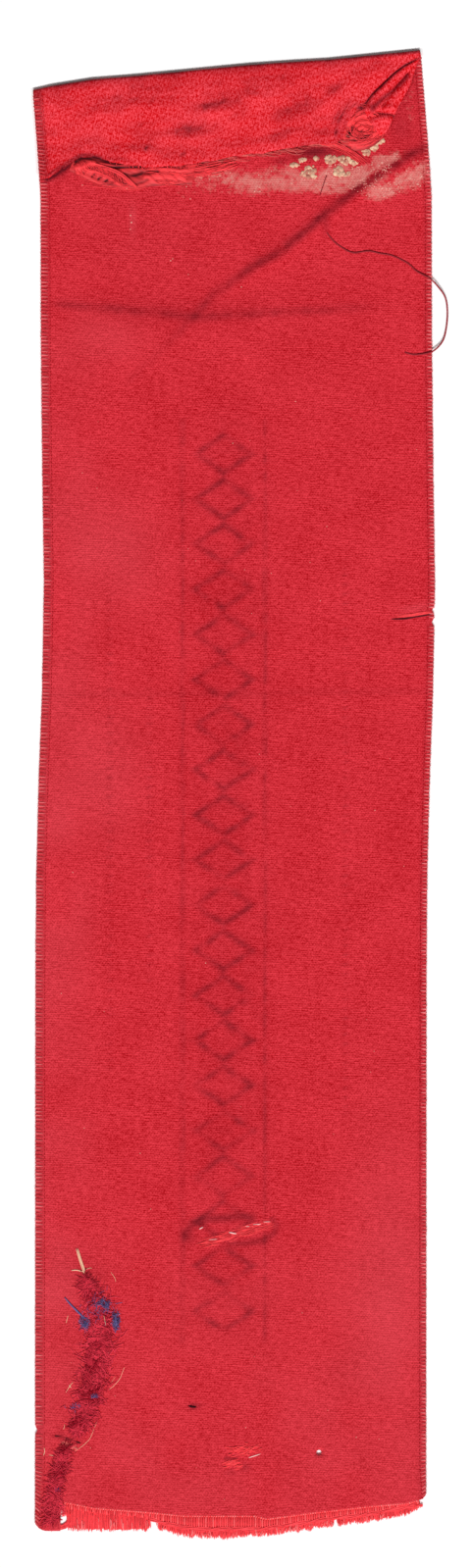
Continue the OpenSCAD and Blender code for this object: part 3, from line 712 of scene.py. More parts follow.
# Painted shadow along the flap's torn edge, and darker lines round the snags
BACK_LINES = [
    ([(44, 185), (52, 181.5), (61, 175.5), (71, 169), (77, 164)], 0.24, 1.0),
    ([(196, 169.5), (215, 165), (237, 161)], 0.16, 0.8),
    ([(190, 1266), (188, 1258), (196, 1248), (214, 1243), (240, 1241), (266, 1241)], 0.55, 0.42),
    ([(228, 1268), (248, 1268), (268, 1265), (280, 1257), (281, 1248), (274, 1240)], 0.45, 0.40),
    ([(228, 1488), (234, 1486.5), (242, 1487.5)], 0.14, 0.6),
]
# Painted shade in the heading's wrinkles and under its torn edge, and a few small stains
FLAP_SHADE_AND_STAINS = [
    (218, 108, 19, 5, 14, 0.62), (194, 133.5, 17, 4.5, 8, 0.68), (340, 92, 11, 4, 32, 0.40),
    (286, 138, 12, 5, 20, 0.45), (170, 100, 34, 10, 6, 0.16), (112, 104, 26, 9, 8, 0.20),
    (150, 151.5, 1.6, 3.2, -30, 0.85), (186, 158, 2, 3, -30, 0.5), (62, 100, 10, 16, 0, 0.12),
    (320, 150, 26, 6, 8, 0.45), (250, 96, 24, 7, 6, 0.18), (300, 112, 18, 8, 20, 0.22),
    (120, 150, 34, 5, 0, 0.18), (360, 76, 20, 4, 30, 0.15), (350, 130, 6, 14, 0, 0.3),
    (367, 110, 4, 3, 40, 1.0),
]
# Painted shade along the torn edge, along the pleat and in the hollows by the tuft
FLAP_LINES = [
    ([(48, 181), (60, 173.5), (72, 166), (82, 160), (95, 160.5), (108, 163.5)], 0.17, 1.0),
    ([(366, 113), (371, 108), (378, 98.5), (388, 89), (400, 77.5), (412, 67.5), (427, 60)], 0.15, 1.0),
    ([(106, 163.5), (120, 163), (132, 162)], 0.14, 0.35),
    ([(364, 106), (352, 113), (344, 125), (342, 140)], 0.15, 0.55),
    ([(356, 106), (346, 114), (338, 128)], 0.15, 0.35),
    ([(350, 148), (344, 143), (343, 134)], 0.15, 0.4),
    ([(404, 95), (392, 100), (384, 108)], 0.3, 0.2),
]
PALE_PLACES = [
    (120, 560, 45, 60, 20, 0.16), (110, 790, 40, 70, 0, 0.14), (424, 620, 18, 4, 8, 0.18),
    (135, 225, 2.5, 14, 0, 0.30), (110, 345, 40, 25, 0, 0.12), (400, 1300, 50, 160, 0, 0.16),
]
mx, my = middle[:, :, 0], middle[:, :, 1]
px, py = mx / PX + MID_PX, MID_PY - my / PX
row = np.arange(len(middle))[:, None]
is_panel = row < rows

# The ornament that shows through: a chain of lozenges between two rules, and rows of short dashes
CHAIN_X, CHAIN_Y = 228, 440
LOZENGE_W, LOZENGE_PITCH, RULE_OUT = 34, 46, 42
DASH_ROWS = [(152, 690, 1004), (352, 556, 1140), (112, 600, 1090)]  # x, top and bottom
DASH_PITCH = 9
dark = 0.10 * bell(px - 236, 42) * between(py, 380, 470, 1300, 1400)
chain_y = np.abs(((py - CHAIN_Y) / LOZENGE_PITCH) % 1 - 0.5) * 2
lozenge = np.abs(np.abs(px - CHAIN_X) / LOZENGE_W + chain_y - 0.85)
dark += 0.40 * bell(lozenge, 0.16) * between(py, 436, 446, 1350, 1362)
dark += 0.24 * bell(np.abs(px - CHAIN_X) - RULE_OUT, 2.4) * between(py, 425, 430, 1366, 1372)
for dash_x, top, bottom in DASH_ROWS:
    dashes = 1 - smooth(np.abs(((py - top) / DASH_PITCH) % 1 - 0.5), 0.12, 0.22)
    dark += 0.20 * bell(px - dash_x, 3.2) * dashes * between(py, top - 2, top, bottom, bottom + 3)
dark *= 0.8 + 0.6 * noise(px / 9, py / 9, 21)
printed = 1.3 * dark * is_panel

# Painted shade along the creases, stains, and a darker line just inside the beads
d, share = from_line(mx, my, CROSS_LINE)
dark += 0.30 * bell(d - 0.1, 0.6) * between(share, 0, 0.06, 0.93, 1) * (0.8 + 0.4 * noise(px / 8, py / 8, 22))
diagonal_d, share = from_line(mx, my, DIAGONAL)
fade = 1 - 0.85 * smooth(share, 0.42, 0.95)
dark += 0.62 * bell(diagonal_d + 0.6, 0.62) * fade * (0.8 + 0.4 * noise(px / 6, py / 6, 23))
dark += 0.10 * bell(from_line(mx, my, STORAGE_LINE)[0], 0.5)
dark += blobs(mx, my, BACK_STAINS_AND_SHADE) + streaks(mx, my, BACK_LINES)
dark += np.where(offsets < 0, 0.34, 0.22) * bell(np.abs(offsets) - 24.65, 0.3) * is_panel

# The heading, and painted shade on the bend where it faces away from the light
BEND_SHADE = [(-1, 0), (0, 0.85), (5, 0.82), (7, 0.68), (8, 0.5), (9, 0.28), (10, 0.12), (12, 0)]  # by row
on_flap = blobs(mx, my, FLAP_SHADE_AND_STAINS)
on_flap += 0.20 * np.clip(noise(px / 24, py / 8, 26) + 0.2, 0, 1)
on_flap += 0.10 * np.clip(noise(px / 9, py / 4, 27), 0, 1)
on_flap = on_flap * (0.85 + 0.5 * noise(px / 4, py / 3, 24)) + streaks(mx, my, FLAP_LINES)
on_flap += 0.40 * smooth(-offsets, 24.2, 24.35) + 0.30 * bell(offsets + 24.15, 0.14)
bend_shading = level(BEND_SHADE, row - rows) * (0.85 + 0.3 * noise(px / 12, 0.5, 25))
dark = np.where(is_panel, dark, np.maximum(on_flap, bend_shading))
face_dark = np.where(is_panel, np.maximum(printed, 0.3 * dark), dark)

haze = 0.42 * between(py, 168, 176, 194, 204) * between(px, 188, 215, 330, 350) + blobs(mx, my, HAZE_PLACES)
haze *= 1 - 0.7 * bell(diagonal_d + 0.6, 0.5)
haze *= np.clip(0.85 + 0.5 * noise(px / 7, py / 5, 31) + 0.3 * noise(px / 2.5, py / 2.5, 32), 0, 1.4)
haze = np.where(is_panel, haze, blobs(mx, my, FLAP_HAZE))
pale = 0.10 * (1 - smooth(px, 50, 120)) * smooth(py, 250, 420) + 0.06 * smooth(py, 1150, 1450)
pale = (pale * (1 + 0.8 * noise(px / 30, py / 40, 33)) + blobs(mx, my, PALE_PLACES)) * is_panel

ribbon = closed(
    back_side, face_side, [back_mat, face_mat], (hole_j, hole_i), listed(flat, flat), "ribbon_cloth",
    dark=(np.clip(dark, 0, 1), np.clip(face_dark, 0, 1)), haze=(np.clip(haze, 0, 1), 0),
    pale=np.clip(pale, 0, 1),
)
loose = bmesh.new()
loose.from_mesh(ribbon.data)
bmesh.ops.delete(loose, geom=[v for v in loose.verts if not v.link_faces], context="VERTS")
loose.to_mesh(ribbon.data)
loose.free()
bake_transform(ribbon)
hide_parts("upper_panel", "lower_panel", "heading_fold", "heading_flap")


# ---------------------------------------------------------------- beaded edges

BEAD_PITCH = 0.471
BEAD_PATH = np.array([  # outwards, upwards and radius
    (-0.62, 0.12, 0.05), (-0.36, 0.15, 0.10), (-0.12, 0.13, 0.13), (0.0, 0.03, 0.15), (0.0, -0.02, 0.12),
    (-0.3, -0.07, 0.05),
])
BEAD_ROOT = -0.78  # where the dark gap between two beads begins


def beads(name, path, out, up, skip=(), size=1.0, reach=1.0, tone=(0.0, 1.0)):
    """The loops of weft that wrap round an edge, one after another along it."""
    s = np.concatenate([[0], np.cumsum(np.linalg.norm(np.diff(path, axis=0), axis=1))])
    want = np.arange(0.3, s[-1], BEAD_PITCH)
    rows = [np.stack([np.interp(want, s, v[:, k]) for k in range(3)], -1) for v in (path, out, up)]
    keep = np.ones(len(want), bool)
    for y in skip:
        keep &= np.abs(rows[0][:, 1] - y) > 0.28
    mid, out, up = [v[keep] for v in rows]
    run = np.cross(out, up)
    count = len(mid)
    wave = rng.normal(0, 0.05, (count, 1))
    paths = np.stack([
        mid + out * (a * size * reach + (wave if a < 0 else 0)) + up * b + run * 0.06 * a
        for a, b, _ in BEAD_PATH
    ], 1)
    radii = BEAD_PATH[:, 2] * rng.uniform(0.85, 1.1, (count, 1)) * size
    loops = tubes(paths, radii, bead_mat, 6, rng.uniform(*tone, count), run)
    gap = mid + out * BEAD_ROOT * size * reach + up * 0.13
    shade = tubes(np.stack([gap, gap + run * 0.27], 1), 0.06 * size, floss_mat, tone=0.0)
    return joined([loops, shade], name)


outward = unit(across)
for side, col, sign, reach, tone in [("left", 0, -1, 1.5, (0.05, 0.8)), ("right", -1, 1, 1.0, (0.2, 1.0))]:
    skip = [y for y, notch_side, _ in NOTCHES if notch_side == sign]
    edge = beads(f"{side}_edge_beads", middle[:rows, col], sign * outward[:rows, col], normal[:rows, col],
                 skip, reach=reach, tone=tone)
    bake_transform(edge)
    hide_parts(f"upper_{side}_selvedge", f"lower_{side}_selvedge")
flap_from = rows + len(bend)
# Darker tones here are painted shade
edge = beads("heading_edge_beads", middle[flap_from:, 0], -outward[flap_from:, 0], -normal[flap_from:, 0],
             reach=1.5, tone=(0.0, 0.6))
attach(edge, "upper")
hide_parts("heading_selvedge")


# ---------------------------------------------------------------- the loose corner of the heading

FREE_EDGE = route([
    (385, 137), (392.5, 136), (398, 127), (403, 116), (410, 101.6), (418.6, 86.2), (423.5, 67), (427, 60),
])
# Share of the way from the pleat to the free edge, and share of the height
PLEATS = [
    (0, -0.1), (0.06, 0.2), (0.13, 0.95), (0.22, 1.0), (0.36, 0.3), (0.46, 0.05), (0.60, 0.65), (0.74, 0.8),
    (0.88, 0.55), (1, 0.1),
]
PLEAT_H, CORNER_Z = 0.72, 0.67
CORNER_TIP_X = 23.95
THIRD_CREASE = route([(375, 119), (386, 116.5), (401, 117.5)])
# Painted shade in the valleys of the pleats and along the creases
CORNER_CREASE_SHADE = [
    ([(366, 115), (371, 109), (378, 99), (388, 90), (400, 78), (412, 68), (428, 59)], 0.17, 1.1),
    ([(375, 115), (384, 106), (392, 99), (402, 92), (411, 83), (418, 74)], 0.40, 0.75),
    ([(374, 119.5), (384, 116.5), (393, 116.5), (402, 119)], 0.17, 1.0),
    ([(396, 131), (402, 118), (410, 102), (418, 87), (423, 70)], 0.12, 0.4),
]
CORNER_STEPS = 48
pleat_line = resample(route(TORN_PX)[PLEAT_FROM:], CORNER_STEPS)
free_line = resample(FREE_EDGE, CORNER_STEPS)
v = np.linspace(0, 1, 26)[:, None]
corner_xy = pleat_line * (1 - v[:, :, None]) + free_line * v[:, :, None]
cx, cy = corner_xy[:, :, 0], corner_xy[:, :, 1]
wide = np.linalg.norm(free_line - pleat_line, axis=1)
rise = PLEAT_H * np.clip(wide / 3.6, 0, 1) * level(PLEATS, v)
d, _ = from_line(cx, cy, THIRD_CREASE)
rise += 0.25 * bell(np.abs(d) - 0.7, 0.4) - 0.45 * bell(d, 0.22) + 0.05 * noise(cx / 0.9, cy / 0.9, 41)
corner_mid = raised(corner_xy, CORNER_Z + np.maximum(rise, -0.06))[::-1]
corner_n = unit(np.cross(np.gradient(corner_mid, axis=1), np.gradient(corner_mid, axis=0)))
corner_sides = [corner_mid + corner_n * CLOTH_T / 2, corner_mid - corner_n * CLOTH_T / 2]
for grid in corner_sides:
    grid[:, :, 0] = np.minimum(grid[:, :, 0], CORNER_TIP_X)
corner_cloth = closed(*corner_sides, [face_mat, back_mat], name="corner_cloth",
                      dark=streaks(cx, cy, CORNER_CREASE_SHADE)[::-1], haze=0, pale=0)
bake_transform(corner_cloth)
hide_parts("torn_corner")
rim = corner_mid[0]
rim_out = np.column_stack([-sideways(rim), np.zeros(CORNER_STEPS)])
upright = np.tile([0, 0, 1.0], (CORNER_STEPS, 1))
edge = beads("corner_edge_beads", rim[10:], rim_out[10:], upright[10:], size=0.5, tone=(0.3, 0.9))
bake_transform(edge)


# ---------------------------------------------------------------- torn floss


def cloth_top(x, y):
    return CLOTH_T + panel_lift(x, y)


def on_cloth(px, py):
    """The point of the cloth under a pixel, just below its surface."""
    place = spot(px, py)
    return (*place, float(cloth_top(*place)) - 0.01)


def lifted(points, z):
    return np.array([at(x, y, z) for x, y in points])


def rod(points, z, steps, radius, mat, tone, sides=5):
    """One tube along pixels, at a height."""
    return tubes(resample(lifted(points, z), steps)[None], radius, mat, sides, tone)


BRUSH_STEPS = 14


def brush(line, count, width, radius, z, height, tone, cut=0.3, wander=0.5, mat=floss_mat):
    """A bundle of floss along pixels: millimetres for its sizes, and the range of its tones."""
    paths = bundle(lifted(line, z), count, width, BRUSH_STEPS, height, wander, cut)
    return tubes(paths, taper(count, BRUSH_STEPS, radius), mat, tone=rng.uniform(*tone, count))


RELIEF_STEPS = (150, 44)  # along and across


def relief(top, low, base, grain, strokes):
    """A torn, creased patch between two lines, with ridges and valleys along strokes:
    points, half width in pixels, height in millimetres and change of tone, a painted highlight on ridges and
    painted shade in valleys."""
    v = np.linspace(0, 1, RELIEF_STEPS[1])[:, None, None]
    xy = resample(route(low), RELIEF_STEPS[0]) * (1 - v) + resample(route(top), RELIEF_STEPS[0]) * v
    x, y = xy[:, :, 0], xy[:, :, 1]
    rim = smooth(v[:, :, 0], 0, 0.16)
    lift = base + 0.04 * noise(x / 0.5, y / 0.5, 91)
    lift += streaks(x, y, [(line, width * PX, height) for line, width, height, _ in strokes])
    # Painted shade: darker towards the patch's rim
    tone = 0.62 + 0.12 * noise(x / 0.8, y / 0.4, 92) - 0.30 * (1 - rim)
    tone += streaks(x, y, [(line, width * PX, tint) for line, width, _, tint in strokes])
    under = cloth_top(x, y) - 0.01
    over = under + 0.03 + np.maximum(lift, 0.02) * (0.3 + 0.7 * rim)
    sides = raised(xy, over), raised(xy, under)
    places = listed(*sides)
    c, s = math.cos(math.radians(grain)), math.sin(math.radians(grain))
    along, beside = places[:, 0] * c + places[:, 1] * s, places[:, 1] * c - places[:, 0] * s
    flow = np.stack([0.5 * along, 4.0 * beside, places[:, 2]], -1)
    return closed(*sides, [torn_mat], flat=flow, tone=np.clip(tone, 0, 1))


def chips(centres, radii, height, mat, sides=6, dome=0.6):
    """Low uneven many-sided lumps, each closed."""
    centres = np.asarray(centres, float)
    shape = len(centres), sides
    a = 2 * np.pi * (np.arange(sides) + rng.uniform(-0.3, 0.3, shape)) / sides
    r = np.asarray(radii)[:, None] * rng.uniform(0.7, 1.2, shape)
    h = np.broadcast_to(np.asarray(height, float), shape[:1])[:, None]
    rings = []
    for grow, rise in [(0.9, 0.0), (1.0, 0.45), (dome, 1.0)]:
        uneven = (rise == 1.0) * rng.uniform(-0.15, 0.15, shape)
        x, y = centres[:, :1] + grow * r * np.cos(a), centres[:, 1:2] + grow * r * np.sin(a)
        rings.append(np.stack([x, y, centres[:, 2:3] + h * (rise + uneven)], -1))
    return ringed(np.stack(rings, 1), mat, None)


LEFT_TOP = [(74, 166), (83, 159.5), (96, 160), (116, 165), (136, 168), (160, 169.5), (185, 169), (200, 167)]
LEFT_LOW = [(70, 174), (82, 180), (98, 187), (116, 191), (136, 192.5), (156, 190), (176, 189.5), (196, 188)]
# Last value: lighter along ridges and darker in valleys, painted highlight and shade
LEFT_STROKES = [
    ([(75, 172), (84, 171), (92, 167), (98, 164)], 2.6, 0.18, 0.45),
    ([(92, 166), (104, 170), (116, 174), (125, 179), (133, 186), (141, 193)], 2.0, 0.30, 0.40),
    ([(84, 173), (98, 176), (110, 181), (119, 187), (124, 192)], 2.0, 0.18, 0.36),
    ([(76, 176), (88, 181), (100, 187), (112, 190)], 1.8, 0.12, 0.34),
    ([(144, 179), (158, 180), (172, 181), (193, 182)], 6.0, 0.20, 0.34),
    ([(150, 176), (162, 187)], 1.0, -0.08, -0.25), ([(160, 175), (174, 187)], 0.9, -0.08, -0.22),
    ([(172, 175), (184, 186)], 0.9, -0.08, -0.22), ([(182, 176), (192, 184)], 0.8, -0.08, -0.2),
    ([(150, 172.5), (166, 173), (184, 174), (198, 174)], 1.6, 0.12, 0.20),
    ([(100, 165.5), (114, 168), (128, 169), (142, 168.5)], 1.4, 0.15, 0.20),
    ([(74, 167), (83, 161.5), (96, 162), (106, 165), (118, 167.5), (128, 167)], 1.7, -0.2, -0.85),
    ([(88, 171.5), (100, 171.5), (112, 171), (124, 171.5)], 1.0, -0.12, -0.50),
    ([(114, 171.5), (130, 170.8), (145, 170.3), (160, 170.8), (175, 171.8), (188, 172)], 1.1, -0.14, -0.85),
    ([(115, 176), (120, 180), (126, 186), (130, 191)], 1.8, -0.25, -0.75),
    ([(124, 177), (132, 180), (141, 178.5), (152, 176), (164, 174.5)], 2.3, -0.22, -0.60),
    ([(93, 181), (98, 176.5)], 1.1, -0.12, -0.60), ([(99, 184), (105, 179)], 1.1, -0.14, -0.65),
    ([(105, 187), (112, 182)], 1.2, -0.16, -0.70), ([(109, 187), (118, 185.5)], 1.2, -0.16, -0.60),
    ([(136, 189), (146, 186), (152, 182.5)], 1.4, -0.10, -0.35), ([(84, 178), (88, 174)], 0.9, -0.08, -0.40),
]
LEFT_BRUSHES = [
    (LEFT_STROKES[1][0], 9, 0.4, 0.06, 0.68, 0.1, (0.5, 1.0)),
    (LEFT_STROKES[2][0], 9, 0.5, 0.05, 0.52, 0.12, (0.3, 1.0), 0.35),
    ([(146, 178), (158, 180), (172, 182), (194, 185)], 26, 1.4, 0.04, 0.56, 0.12, (0.5, 1.0), 0.5, 0.9),
    ([(140, 172), (158, 172), (178, 173), (198, 174)], 10, 0.3, 0.05, 0.52, 0.1, (0.3, 1.0), 0.4),
    ([(180, 176), (205, 174), (226, 170), (244, 164)], 20, 1.2, 0.06, 0.36, 0.3, (0.4, 1.0)),
    ([(84, 186), (113, 190), (138, 191), (160, 188)], 16, 0.7, 0.04, 0.36, 0.10, (0.5, 1.0), 0.45),
]
HAIR_ROOTS = [(70, 172), (82, 164), (95, 166), (124, 174)]
parts = [relief(LEFT_TOP, LEFT_LOW, 0.10, -16, LEFT_STROKES)] + [brush(*row) for row in LEFT_BRUSHES]
ends = []
for _ in range(90):
    x = rng.uniform(74, 124)
    y = level(HAIR_ROOTS, x)
    reach, lean = rng.uniform(9, 19), rng.uniform(0.1, 0.75)
    ends.append([at(x, y, 0.56), at(x + reach * lean, y + reach, 0.36)])
parts.append(hairs(ends, 8, 0.08, 0.12, 0.035, floss_mat, tone=(0.3, 1.0)))
put(parts, "left_floss_strands", "upper", "left_torn_floss")

TUFT = spot(371, 131)
TUFT_TOP = [(345, 140), (346, 128), (352, 117), (361, 110), (370, 107), (380, 109), (390, 113), (398, 117)]
TUFT_LOW = [(347, 146), (352, 151), (360, 154), (368, 154), (377, 151), (385, 146), (392, 138), (398, 126)]
# Last value: lighter along ridges and darker in hollows, painted highlight and shade
TUFT_STROKES = [
    ([(354, 131), (360, 122), (369, 117.5), (380, 118.5), (389, 124), (392, 132), (386, 141)],
     2.3, 0.28, 0.40),
    ([(359, 131), (366, 125), (375, 124.5), (382, 129), (382, 136), (376, 143)], 1.9, 0.24, 0.35),
    ([(364, 132), (370, 130), (376, 133), (375, 138)], 1.5, 0.20, 0.30),
    ([(350, 143), (351, 131), (357, 122)], 1.8, 0.16, 0.15),
    ([(354, 147), (363, 147.5), (373, 147), (383, 143)], 1.6, 0.16, 0.30),
    ([(362, 151), (372, 150.5), (381, 147)], 1.2, 0.08, 0.20),
    ([(354, 141), (357, 135), (361, 129)], 2.0, -0.22, -0.70), ([(357, 145), (367, 141)], 1.5, -0.20, -0.55),
    ([(367, 142), (374, 140), (380, 138)], 1.6, -0.22, -0.65), ([(365, 137), (370, 134)], 1.2, -0.20, -0.60),
    ([(350, 149), (358, 151)], 1.1, -0.10, -0.40), ([(365, 111), (370, 108), (374, 106)], 2.0, -0.20, -0.85),
    ([(374, 120.5), (384, 116.5), (392, 117), (400, 119)], 1.3, -0.20, -0.75),
    ([(362, 111), (353, 118), (348, 128), (348, 139)], 1.0, -0.10, -0.55),
    ([(386, 121), (388, 128), (385, 135)], 0.8, -0.06, -0.30),
]
TUFT_BRUSHES = [
    ([(356, 130), (360, 121), (369, 116), (382, 118), (391, 127)], 12, 0.7, 0.055, 0.9, 0.2, (0.6, 1), 0.4),
    ([(366, 108), (378, 112), (392, 113)], 14, 0.7, 0.045, 0.9, 0.2, (0.3, 1), 0.5),
    ([(318, 143), (334, 146), (350, 152), (366, 163), (374, 170)], 34, 0.8, 0.055, 0.5, 0.3, (0.5, 1), 0.5),
    ([(352, 144), (364, 147), (378, 144), (389, 136)], 16, 0.7, 0.05, 0.62, 0.25, (0.4, 1.0)),
    ([(362, 111), (352, 120), (346, 132), (349, 146)], 9, 0.6, 0.06, 0.74, 0.2, (0.1, 0.6)),
]
CURLS, CURL_STEPS = 22, 18
paths = []
for _ in range(CURLS):
    r = rng.uniform(0.6, 2.1)
    start, sweep = rng.uniform(0, 2 * math.pi), rng.uniform(1.4, 3.4)
    a = start + np.linspace(0, sweep, CURL_STEPS)
    grow = r * (1 + 0.2 * np.sin(2 * a + rng.uniform(0, 6)) + np.linspace(-0.15, 0.2, CURL_STEPS))
    c = TUFT + rng.normal(0, 0.35, 2)
    z = 0.80 + 0.22 * rng.random() * (1 - (r / 2.6) ** 2) + 0.08 * np.sin(a * 2 + rng.uniform(0, 6))
    paths.append(np.stack([c[0] + grow * np.cos(a), c[1] + 0.88 * grow * np.sin(a), z], -1))
parts = [relief(TUFT_TOP, TUFT_LOW, 0.34, 25, TUFT_STROKES)]
parts.append(tubes(paths, taper(CURLS, CURL_STEPS, 0.045), floss_mat, tone=rng.uniform(0.5, 1.0, CURLS)))
parts += [brush(*row) for row in TUFT_BRUSHES]
put(parts, "tuft_strands", "upper", "right_torn_floss")

# Fibres that hang out of the torn edge: long dusty ones at the right, short ones at the left
ends = []
for _ in range(130):
    x = rng.uniform(200, 352)
    y = level(TORN_PX, x) - 1
    reach, lean = rng.uniform(8, 26), rng.uniform(-0.16, 0.22)
    ends.append([at(x, y, 0.60), at(x + reach, y + reach * lean, rng.uniform(0.40, 0.6))])
parts = [hairs(ends, 8, 0.05, 0.18, 0.035, dusty_mat)]
ends = []
for _ in range(45):
    x = rng.uniform(110, 205)
    y = level(TORN_PX, x) - 1
    reach = rng.uniform(2, 5)
    ends.append([at(x, y, 0.7), at(x + reach * rng.uniform(-0.5, 1), y + reach, rng.uniform(0.4, 0.7))])
parts.append(hairs(ends, 6, 0.05, 0.1, 0.04, floss_mat))
put(parts, "torn_edge_fibres", "upper", None)
scrap = rod([(333, 179), (331, 184), (329, 190), (326, 199)], 0.42, 16, 0.075, thread_mat, 0.2)
put([scrap], "thread_scrap", "upper", None)
PULLED_PX = [(400, 629), (412, 628), (428, 626), (442, 623.5)]
TEAR_PX = [(398, 631.4), (412, 631), (425, 628.6), (441, 626.4)]
pulled = brush(PULLED_PX, 14, 0.45, 0.06, 0.33, 0.12, (0.7, 1.0))
# A dark tube as painted shade inside the tear
tear = rod(TEAR_PX, 0.33, 14, taper(1, 14, 0.13), dirt_and_shade_mat, 0.7)
put([pulled, tear], "pulled_weft_floats", "upper", "pulled_weft")


# ---------------------------------------------------------------- old glue

# Crumbs where the haze is, a film that fills the slit under the heading, and cream flakes
TRIES = 9000
tries = np.stack([rng.uniform(190, 438, TRIES), rng.uniform(150, 204, TRIES)])
xy = spot(*tries)
chance = blobs(*xy, HAZE_PLACES) * (0.5 + 0.9 * noise(*(tries / 4), 51))
xy = xy[:, chance > rng.uniform(0.2, 1.4, TRIES)]
crumbs = np.stack([*xy, cloth_top(*xy) - 0.02], -1)
parts = [chips(crumbs, rng.uniform(0.04, 0.12, len(crumbs)), 0.05, crust_mat, sides=5)]
FILM_ROWS = (27, 6)  # the flap's rows that it reaches from and to
film_cols = np.round(np.linspace(0.13, 0.86, 60) * (cols - 1)).astype(int)
w = np.linspace(0, 1, 14)[:, None, None]
film = flap_xy[FILM_ROWS[0], film_cols] * (1 - w) + flap_xy[FILM_ROWS[1], film_cols] * w
x, y = film[:, :, 0], film[:, :, 1]
film_sides = raised(film, 0.47 + 0.02 * noise(x, y, 3)), raised(film, cloth_top(x, y) + 0.004)
parts.append(closed(*film_sides, [crust_mat], tone=0.3))
put(parts, "glue_crust", "upper", "glue_film")

FLAKES = [  # centre and radii
    (368, 149.5, 4.6, 3.0), (374, 156, 4.0, 2.0), (382, 148.5, 3.8, 4.5), (387, 143.5, 3.4, 3.0),
    (371, 153, 2.0, 1.6), (337, 163, 5.4, 4.2), (350.5, 163.5, 5.8, 4.4), (360.5, 166, 3.2, 2.6),
    (317, 173, 5.4, 3.8), (309, 178, 2.2, 2.6), (317.5, 180.5, 4.6, 1.1), (301, 168.5, 4.8, 1.4),
    (322.5, 162, 1.6, 1.2), (344, 175, 4.4, 4.6), (309, 163.5, 3.4, 0.9), (351, 178, 5.0, 1.6),
]
centres, radii, heights = [], [], []
for x, y, rx, ry in FLAKES:
    for _ in range(int(rx * ry) + 4):
        a, away = rng.uniform(0, 2 * math.pi), math.sqrt(rng.uniform(0, 1))
        centres.append(on_cloth(x + rx * away * math.cos(a), y + ry * away * math.sin(a)))
        radii.append(rng.uniform(0.16, 0.36))
        heights.append(rng.uniform(0.05, 0.11))
flakes = chips(centres, radii, heights, flake_mat, sides=9, dome=0.9)
put([flakes], "glue_flake_lumps", "upper", "glue_flakes")


# ---------------------------------------------------------------- the cut end

TIPS = [
    (62, 1546), (69.4, 1546), (69.6, 1561), (94, 1562), (134, 1562), (150, 1561), (153, 1560), (155, 1553),
    (160, 1553), (163, 1561), (174, 1564), (194, 1568), (234, 1570), (254, 1567), (274, 1567), (294, 1564),
    (314, 1561), (334, 1558), (339, 1557), (342, 1551), (345, 1557), (354, 1555), (374, 1553), (394, 1550),
    (414, 1546), (424, 1541), (429, 1535), (432, 1530),
]
RIDGE_FROM = 152  # the weft cord begins here
FLOAT_PITCH = 2.4


def strip(x, low, top, low_z, top_z, tone):
    """A closed strip of cloth between two lines of pixels."""
    xy = np.array([spot(x, low).T, spot(x, top).T])
    return closed(raised(xy, top_z), raised(xy, low_z), [floss_mat], tone=tone)


# The last rows: small loops over the cloth's end, upright floats down to the ridge, and cloth behind
x = np.arange(67, 425, FLOAT_PITCH)
ends = [[at(a, b - 1.3, 0.32), at(a, b + 0.9, 0.34)] for a, b in zip(x, level(HEM_PX, x))]
loop_radii = 0.14 * np.array([0.5, 0.85, 1, 0.85, 0.5])
parts = [tubes(strand(ends, 5, 0.01), loop_radii, bright_mat, 6, rng.uniform(0.0, 0.5, len(x)))]
ends = []
for a in np.arange(66, 427, FLOAT_PITCH):
    top = level(HEM_PX, a) - 0.5
    bottom = level(RIDGE_PX, a) - 0.5 if a > RIDGE_FROM else top + rng.uniform(5, 7.5)
    ends.append([at(a, top, 0.24), at(a + rng.uniform(-0.3, 0.3), bottom, 0.22)])
parts.append(hairs(ends, 7, 0.03, 0.02, 0.13, floss_mat, 6, (0.7, 1.0), spread=0.1))
parts.append(hairs(ends[::3], 7, 0.03, 0.02, 0.14, bright_mat, 6, 0.15, spread=0.1))
x = np.linspace(66, 426, 121)
top = level(HEM_PX, x) - 2
parts.append(strip(x, np.where(x > RIDGE_FROM, level(RIDGE_PX, x), top + 5), top, 0.03, 0.19, 0.5))
put(parts, "hem_rows", "lower", "hem_band")

PLIES, PLY_STEPS = 7, 90
paths = []
for i in range(PLIES):
    line = resample(lifted(RIDGE_PX, 0.24), PLY_STEPS)
    a = np.linspace(0, 34, PLY_STEPS) + i * 0.9
    line[:, :2] += sideways(line) * (0.17 * np.sin(a) * (i % 2 + 0.4))[:, None]
    line[:, 2] += 0.04 * np.cos(a) + 0.02 * (i % 3)
    paths.append(line)
ridge_plies = tubes(paths, 0.10, floss_mat, 6, rng.uniform(0.7, 1.0, PLIES))
put([ridge_plies], "weft_ridge", "lower", "weft_cord")

